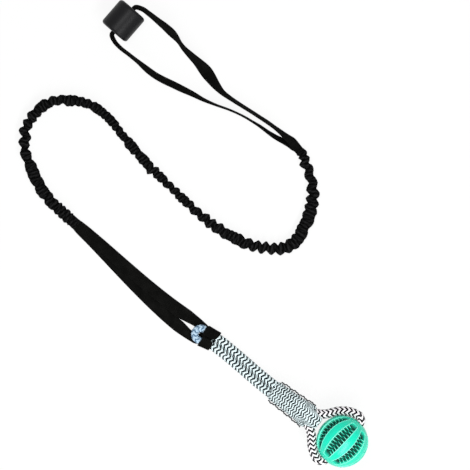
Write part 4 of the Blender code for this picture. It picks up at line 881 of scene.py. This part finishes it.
# Middle of the collar and half the distance between the two legs, in millimetres
COLLAR_ROUTE = [
    (73.1, -213.1, 18.8, 6.2), (79.1, -217.6, 21, 6.3), (85.2, -222.1, 23.1, 6.4),
    (91.2, -226.6, 25.2, 6.6), (97.2, -231, 27.2, 6.9), (103.2, -235.5, 29, 7.2),
    (109.2, -240, 30.8, 7.6), (115.2, -244.5, 32.2, 8.1), (121.2, -249, 33.5, 8.7),
    (126, -252.6, 34.3, 8.9), (130.4, -255.9, 34.8, 8.9), (133.6, -258.3, 35.1, 8.9),
]
COLLAR_STEPS = 10
COLLAR_BORE = 0.0065
COLLAR_WALL = 0.0013
COLLAR_SIDES = 112
COLLAR_ROW = 0.00055
COLLAR_GIRTH = 0.078
COLLAR_COLUMNS = 18
COLLAR_PITCH = 0.0020
COLLAR_SLOPE = 1.2
COLLAR_FRAY = 0.0013
COLLAR_TONGUE = 0.0155
COLLAR_EASE = 0.036
# Round the legs the collar stops short: beyond this share of its half width, over as much again
TONGUE_EDGE = 0.4
# Its rims thin to this share of the wall, over so many times the wall's thickness
RIM_SHARE = 0.45
RIM_LENGTH = 1.5
COLLAR_STRAND_DEPTH = 0.0005
FRAY_SEED = 7
SEAM_RADIUS = 0.00085
SEAM_GAP = 0.0016
SEAM_SIDES = 8
# Depth, pace and shift of the waves the seam yarn lies in
SEAM_WAVES = ((0.0004, 1300.0, 1.0), (0.0006, 480.0, 2.0))
SEAM_TWIST = 5200.0


def stadium_rings(middle, frames, spread, radius, turns):
    """Rings of a flat-sided oval round two cords that lie spread each side of the middle."""
    bend, flat = math.pi * radius / 2.0, 2.0 * spread
    far = turns * (4.0 * bend + 2.0 * flat)
    angle = (np.clip(far, 0.0, bend) + np.clip(far - bend - flat, 0.0, 2.0 * bend)
             + np.clip(far - 3.0 * bend - 2.0 * flat, 0.0, bend)) / radius
    wide = (radius * np.cos(angle) + spread - np.clip(far - bend, 0.0, flat)
            + np.clip(far - 3.0 * bend - flat, 0.0, flat))
    return rings_round(middle, frames, wide, radius * np.sin(angle))


collar_line = smooth_line(metres(COLLAR_ROUTE), COLLAR_STEPS)
collar_far, collar_rows = even_rows(collar_line, COLLAR_ROW)
collar_total = collar_far[-1]
collar_middle, spread = collar_rows[:, :3], collar_rows[:, 3:]
collar_frames = line_frames(collar_middle)
collar_heading, collar_side, _ = collar_frames
turns = (np.arange(COLLAR_SIDES)[None] + 0.5) / COLLAR_SIDES
height = plait_height(turns, collar_far[:, None], COLLAR_COLUMNS, COLLAR_PITCH, COLLAR_SLOPE)
rim = ease(np.minimum(collar_far, collar_total - collar_far) / COLLAR_WALL / RIM_LENGTH)[:, None]
outer = (COLLAR_BORE + COLLAR_WALL * (RIM_SHARE + (1.0 - RIM_SHARE) * rim)
         - COLLAR_STRAND_DEPTH * (1.0 - height))
outer_rings, bore_rings = (stadium_rings(collar_middle, collar_frames, spread, radius, turns)
                           for radius in (outer, np.full_like(outer, COLLAR_BORE)))
# Between the rope's legs the sleeve reaches a little further than round them
near_end = ease((collar_far - collar_total + COLLAR_EASE) / COLLAR_EASE)[:, None]
for rings, wall in ((outer_rings, COLLAR_WALL), (bore_rings, 0.0)):
    off_middle = abs(((rings - collar_middle[:, None]) * collar_side[:, None]).sum(-1))
    beside = ease((off_middle / (spread + COLLAR_BORE + wall) - TONGUE_EDGE) / TONGUE_EDGE)
    rings -= collar_heading[:, None] * (COLLAR_TONGUE * beside * near_end)[..., None]
random = np.random.default_rng(FRAY_SEED)
fray = random.uniform(0.0, COLLAR_FRAY, (2, COLLAR_SIDES, 1))
for end, sign in ((0, -1.0), (-1, 1.0)):
    for rings in (outer_rings, bore_rings):
        rings[end] += collar_heading[end] * sign * fray[end]
collar_along = np.concatenate((collar_far, collar_total + COLLAR_WALL + collar_far,
                               [2.0 * (collar_total + COLLAR_WALL)]))
collar = skin_over("braided_collar", np.concatenate((outer_rings, bore_rings[::-1])), COLLAR_GIRTH,
                   collar_along, closed=True, sharp=180.0)
collar_sizes = (COLLAR_GIRTH / COLLAR_COLUMNS, COLLAR_PITCH, COLLAR_SLOPE)
collar.data.materials.append(braid_finish("collar_braid", collar_sizes, PALE_YARN, DARK_YARN,
                                          0.0022, 0.28, 0.0))

# The dark overlocking yarn wanders along both long edges
seam_yarn = twisted_yarn("seam_yarn", (0.012, 0.020, 0.024), 0.9, 0.15, SEAM_TWIST,
                         (0.003, 0.006, 0.007), (0.02, 0.03, 0.034), depth=0.0002)
seam_rows = slice(4, -4 - round(COLLAR_TONGUE / COLLAR_ROW))
seams = []
for sign in (1.0, -1.0):
    wave = sum(depth * np.sin(collar_far * pace + shift * sign)
               for depth, pace, shift in SEAM_WAVES)
    off_middle = spread + COLLAR_BORE + COLLAR_WALL + SEAM_GAP + wave[:, None]
    middle = (collar_middle + collar_side * sign * off_middle)[seam_rows]
    seam = round_cord(f"collar_seam_{len(seams) + 1}", middle, SEAM_RADIUS, SEAM_SIDES,
                      collar_far[seam_rows])
    seam.data.materials.append(seam_yarn)
    seams.append(seam)
for piece in (collar, *seams):
    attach(piece, "rope_end")
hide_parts("rope_collar")

# 8. Ball
# Moulded in one piece from mint green rubber, with a bore that the rope passes through. Eight
# slots run from pole to pole, with thin teeth from both walls that scrape a dog's teeth.

BALL_MIDDLE = (0.165890, -0.282263, 0.035)
BALL_POLE_ANGLE = math.radians(46.2)
BALL_RADIUS = 0.035
BALL_BORE = 0.0066
BORE_LIP = 0.0016
SLOTS = 8
SLOT_HALF_ANGLE = math.radians(12.2)
SLOT_DEPTH = 0.0052
SLOT_END = math.radians(56.0)
END_RISE = 0.8
SLOT_WALL = 0.0007
SLOT_CORNER = 0.0022
SLOT_BEAD = 0.00035
FIRST_SLOT = math.radians(-9.3)
# Places across a slot and its wall as metres from its middle, then across the petal as shares
ACROSS_SLOT = (0.0, 0.0022, 0.0042, 0.0056, 0.0063, 0.0067, 0.0069, 0.0071, 0.0073, 0.0075,
               0.0077, 0.0079, 0.0082, 0.0086)
ACROSS_PETAL = (0.12, 0.28, 0.46, 0.64, 0.82, 1.0)
END_ROWS = (-0.0030, -0.0020, -0.0014, -0.0010, -0.0007, -0.0004, -0.0002, 0.0, 0.0002, 0.0004,
            0.0007, 0.0011, 0.0017)
SLOT_ROWS = 56
CAP_ROWS = 12
LIP_ROWS = 5
LIP_START = math.radians(20.0)
BORE_ROWS = 8
BORE_START = 0.004
# Where the wall of a slot starts inside its rim, and the bead's breadth and how fast it fades
WALL_START = 0.0001
BEAD_BREADTH = 0.0004
BEAD_FADE = 50.0
TEETH = 10
TEETH_END = math.radians(44.0)
TOOTH_REACH = 0.0080
TOOTH_ROOT = 0.0017
TOOTH_CREST = 0.0011
TOOTH_TAPER = 0.45
TOOTH_TOP = 0.0006
TOOTH_TIP_FALL = 0.0026
TOOTH_SLANT = 0.0006
TOOTH_BEVEL = 0.16
# The two walls of a slot, and where in its row a tooth of each stands, so that they interlock
WALLS = ((1.0, 0.25), (-1.0, 0.75))
# How deep a tooth's root and foot are sunk into the slot's wall and floor
TOOTH_SUNK = 0.0003
FOOT_SUNK = 0.0004
# A tooth's painted shade at shares of its height, dark at its foot and a painted highlight on its
# crest, and how much of it is lost towards the tip
TOOTH_SHADES = ((0.0, 0.5, 0.8, 0.95), (0.0, 0.08, 0.40, 1.0))
TIP_SHADE_LOSS = 0.6
# Painted shade in the bore
BORE_SHADE = 0.2
# How fast painted shade darkens a slot's wall with its depth
WALL_SHADE = 1.4


def ball_reach(turn, latitude):
    """The ball's radius and its painted shade: mid on the petals, a painted highlight on the bead
    at a slot's rim, painted shade down its wall and on its floor.
    """
    latitude = abs(latitude)
    corner = np.array(((turn - SLOT_HALF_ANGLE) * math.cos(latitude), latitude - SLOT_END))
    corner = corner * BALL_RADIUS + SLOT_CORNER
    outside = np.linalg.norm(np.maximum(corner, 0.0)) + min(corner.max(), 0.0) - SLOT_CORNER
    bead = math.exp(-((outside - BEAD_BREADTH) / BEAD_BREADTH) ** 2)
    bead *= 1.0 - END_RISE * ease((latitude - SLOT_END) * BEAD_FADE + 1.0)
    sink = ease((WALL_START - outside) / SLOT_WALL)
    sink *= 1.0 - END_RISE * ease((latitude - TEETH_END) / (SLOT_END - TEETH_END))
    return (BALL_RADIUS - SLOT_DEPTH * sink + SLOT_BEAD * bead,
            0.5 + 0.5 * bead - 0.5 * min(sink * WALL_SHADE, 1.0))


def globe_point(radius, latitude, longitude):
    """The point at this distance from the ball's middle."""
    return (radius * math.cos(latitude) * math.cos(longitude),
            radius * math.cos(latitude) * math.sin(longitude), radius * math.sin(latitude))


lip_latitude = math.acos((BALL_BORE + BORE_LIP) / BALL_RADIUS)
end_latitudes = [SLOT_END + step / BALL_RADIUS for step in END_ROWS]
half_latitudes = (list(np.linspace(0.0, end_latitudes[0], SLOT_ROWS // 2 + 1)[:-1]) + end_latitudes
                  + list(np.linspace(end_latitudes[-1], lip_latitude, CAP_ROWS + 1)[1:]))
latitudes = [-latitude for latitude in half_latitudes[:0:-1]] + half_latitudes
petal = math.pi / SLOTS
slot_middles = [FIRST_SLOT + slot * 2.0 * math.pi / SLOTS for slot in range(SLOTS)]
ball_rings = []
for latitude in latitudes:
    half_sector = [(across / BALL_RADIUS, ball_reach(across / BALL_RADIUS, latitude)[0])
                   for across in ACROSS_SLOT]
    rim_angle = half_sector[-1][0]
    half_sector += [(rim_angle + (petal - rim_angle) * share, BALL_RADIUS)
                    for share in ACROSS_PETAL]
    sector = [(-a, r) for a, r in half_sector[-2:0:-1]] + half_sector
    ball_rings.append([globe_point(radius, latitude, slot_middle + angle)
                       for slot_middle in slot_middles for angle, radius in sector])
longitudes = [math.atan2(y, x) for x, y, z in ball_rings[0]]
lip_height = BALL_RADIUS * math.sin(lip_latitude)
inner = [(BALL_BORE + BORE_LIP * (1.0 - math.sin(a)), lip_height - BORE_LIP * (1.0 - math.cos(a)))
         for a in np.linspace(LIP_START, math.pi / 2.0, LIP_ROWS)]
inner += [(BALL_BORE, lip_height - BORE_LIP - depth)
          for depth in np.linspace(BORE_START, lip_height, BORE_ROWS)[:-1]]
bore_profile = inner + [(radius, -height) for radius, height in inner[::-1]]
for radius, height in bore_profile:
    ball_rings.append([(radius * math.cos(a), radius * math.sin(a), height) for a in longitudes])
ball = skin_over("toothed_ball", ball_rings, 1.0, np.linspace(0.0, 1.0, len(ball_rings) + 1),
                 closed=True, sharp=60.0)
# Each point's painted shade: dark down the slots' walls and floors and in the bore, pale on the rim
# beads as a painted highlight
ball_shades = []
for corner in ball.data.vertices:
    x, y, z = corner.co
    if math.hypot(x, y) < BALL_BORE + BORE_LIP:
        ball_shades.append(BORE_SHADE)
        continue
    latitude = math.asin(z / corner.co.length)
    turn = (math.atan2(y, x) - FIRST_SLOT + petal) % (2.0 * petal) - petal
    ball_shades.append(ball_reach(abs(turn), latitude)[1])
shade_points(ball, ball_shades)

# One tooth: its root on the slot's wall, its crest just under the ball's surface, falling to a tip
bpy.ops.mesh.primitive_cube_add(size=1.0)
tooth = bpy.context.object
bpy.ops.object.mode_set(mode="EDIT")
bpy.ops.mesh.select_all(action="SELECT")
bpy.ops.mesh.bevel(offset=TOOTH_BEVEL, segments=2, affect="EDGES")
bpy.ops.object.mode_set(mode="OBJECT")
tooth_shape = [tuple(corner.co) for corner in tooth.data.vertices]
# Each tooth is painted dark at its foot and pale on its crest, fading towards its tip: painted
# shade and painted highlight.
shade_points(tooth, [np.interp(z + 0.5, *TOOTH_SHADES) * (1.0 - TIP_SHADE_LOSS * (x + 0.5))
                     for x, y, z in tooth_shape])
bpy.ops.object.shade_smooth_by_angle(angle=math.radians(50.0))

teeth = []
for slot_middle in slot_middles:
    for wall, stand in WALLS:
        for number in range(TEETH):
            middle_latitude = TEETH_END * (2.0 * (number + stand) / TEETH - 1.0)
            narrowing = math.cos(middle_latitude)
            teeth.append(copy_of(tooth))
            for corner, (x, y, z) in zip(teeth[-1].data.vertices, tooth_shape):
                far = x + 0.5
                high = z + 0.5
                reach = SLOT_HALF_ANGLE * BALL_RADIUS - far * TOOTH_REACH
                across = reach * narrowing + TOOTH_SUNK
                thick = (TOOTH_ROOT + (TOOTH_CREST - TOOTH_ROOT) * high) * (1.0 - TOOTH_TAPER * far)
                top = BALL_RADIUS - TOOTH_TOP - TOOTH_TIP_FALL * far
                low = BALL_RADIUS - SLOT_DEPTH - FOOT_SUNK
                latitude = middle_latitude + (y * thick + TOOTH_SLANT * (far - 0.5)) / BALL_RADIUS
                angle = math.asin(across / (BALL_RADIUS * math.cos(latitude)))
                corner.co = globe_point(low + (top - low) * high, latitude,
                                        slot_middle + wall * angle)
bpy.data.objects.remove(tooth)
ball_teeth = join_up(teeth, "ball_teeth")
bpy.ops.object.mode_set(mode="EDIT")
bpy.ops.mesh.select_all(action="SELECT")
bpy.ops.mesh.normals_make_consistent(inside=False)
bpy.ops.object.mode_set(mode="OBJECT")
for piece in (ball, ball_teeth):
    piece.data.transform(laid_down(BALL_MIDDLE, BALL_POLE_ANGLE))

# Mint rubber: a soft gloss on the petals, matt in the slots, a fine moulded grain. The stored shade
# paints it dark green down the slots and in the bore, painted shade, and pale on the rim beads and
# tooth crests, a painted highlight
mint = finish_of("mint_rubber", (0.0, 0.72, 0.46), 0.3, 0.35)
place = node(mint, "TexCoord").outputs["Object"]
grain = noise(mint, place, 1400.0, 3.0)
cloud = noise(mint, place, 45.0, 2.0)
shade = point_shade(mint)
petals = mixed(mint, cloud, (0.0, 0.66, 0.42), (0.005, 0.78, 0.53))
# Dark green down the slots as painted shade, pale on rims and tooth crests as painted highlight
painted_slot_shade = mixed(mint, ranged(mint, shade, 0.0, 0.5), (0.0, 0.06, 0.04), petals)
tint(mint, ranged(mint, shade, 0.5, 1.0), painted_slot_shade, (0.36, 0.95, 0.80))
connect(mint, Roughness=calc(mint, "ADD", ranged(mint, grain, 0.0, 1.0, 0.26, 0.36),
                             ranged(mint, shade, 0.0, 0.5, 0.6, 0.0)))
bump(mint, grain, 0.12, 0.0002)
for piece in (ball, ball_teeth):
    piece.data.materials.append(mint)
    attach(piece, "ball")
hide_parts("ball")

# 9. Floor and light
# A wide white sheet under soft light from all round. Two softboxes draw the highlights: a square
# one overhead, and a long one out beyond the ball.

FLOOR_SIZE = 40.0
FLOOR_DROP = 0.0004
FLOOR_GLOW_SHARE = 0.88
SKY_STRENGTH = 0.31


def rays_seen(owner):
    """1 for rays that carry what the camera sees, 0 for rays that only carry light."""
    rays = node(owner, "LightPath").outputs
    seen = calc(owner, "MAXIMUM", rays["Is Camera Ray"], rays["Is Glossy Ray"])
    return calc(owner, "MAXIMUM", seen, rays["Is Transmission Ray"])


bpy.ops.mesh.primitive_plane_add(size=FLOOR_SIZE, location=(0.0, 0.0, -FLOOR_DROP))
floor = bpy.context.object
floor.name = "white_floor"
paper = finish_of("white_paper", (0.93, 0.93, 0.93), 0.9, 0.0)
glow = node(paper, "Emission", {0: (1.0, 1.0, 1.0, 1.0), 1: 1.0}).outputs[0]
both = node(paper, "MixShader", {0: calc(paper, "MULTIPLY", rays_seen(paper), FLOOR_GLOW_SHARE),
                                 1: paper.node_tree.nodes["Principled BSDF"].outputs[0], 2: glow})
paper.node_tree.links.new(both.outputs[0], paper.node_tree.nodes["Material Output"].inputs[0])
floor.data.materials.append(paper)

world = bpy.data.worlds.new("white_studio")
bpy.context.scene.world = world
world.use_nodes = True
sky = world.node_tree.nodes["Background"].inputs
sky["Color"].default_value = (1.0, 1.0, 1.0, 1.0)
strength = ranged(world, rays_seen(world), 0.0, 1.0, SKY_STRENGTH)
world.node_tree.links.new(strength, sky["Strength"])

# Name, place, width, length, turn and power of each softbox, and the point that both aim at
LAMPS = [("overhead_softbox", (-0.30, 0.42, 2.2), 0.6, 0.6, 0.0, 18.0),
         ("side_softbox", (0.42, -1.22, 1.62), 2.4, 0.45, 42.0, 38.0)]
LAMP_AIM = Vector((0.08, -0.15, 0.0))

for name, place, width, length, turned, power in LAMPS:
    lamp_data = bpy.data.lights.new(name, "AREA")
    lamp_data.shape = "RECTANGLE"
    lamp_data.size = width
    lamp_data.size_y = length
    lamp_data.energy = power
    lamp = bpy.data.objects.new(name, lamp_data)
    lamp.location = place
    aimed = (LAMP_AIM - Vector(place)).to_track_quat("-Z", "Y").to_matrix()
    lamp.rotation_euler = (aimed @ Matrix.Rotation(math.radians(turned), 3, "Z")).to_euler()
    lamp.visible_camera = False
    bpy.context.scene.collection.objects.link(lamp)
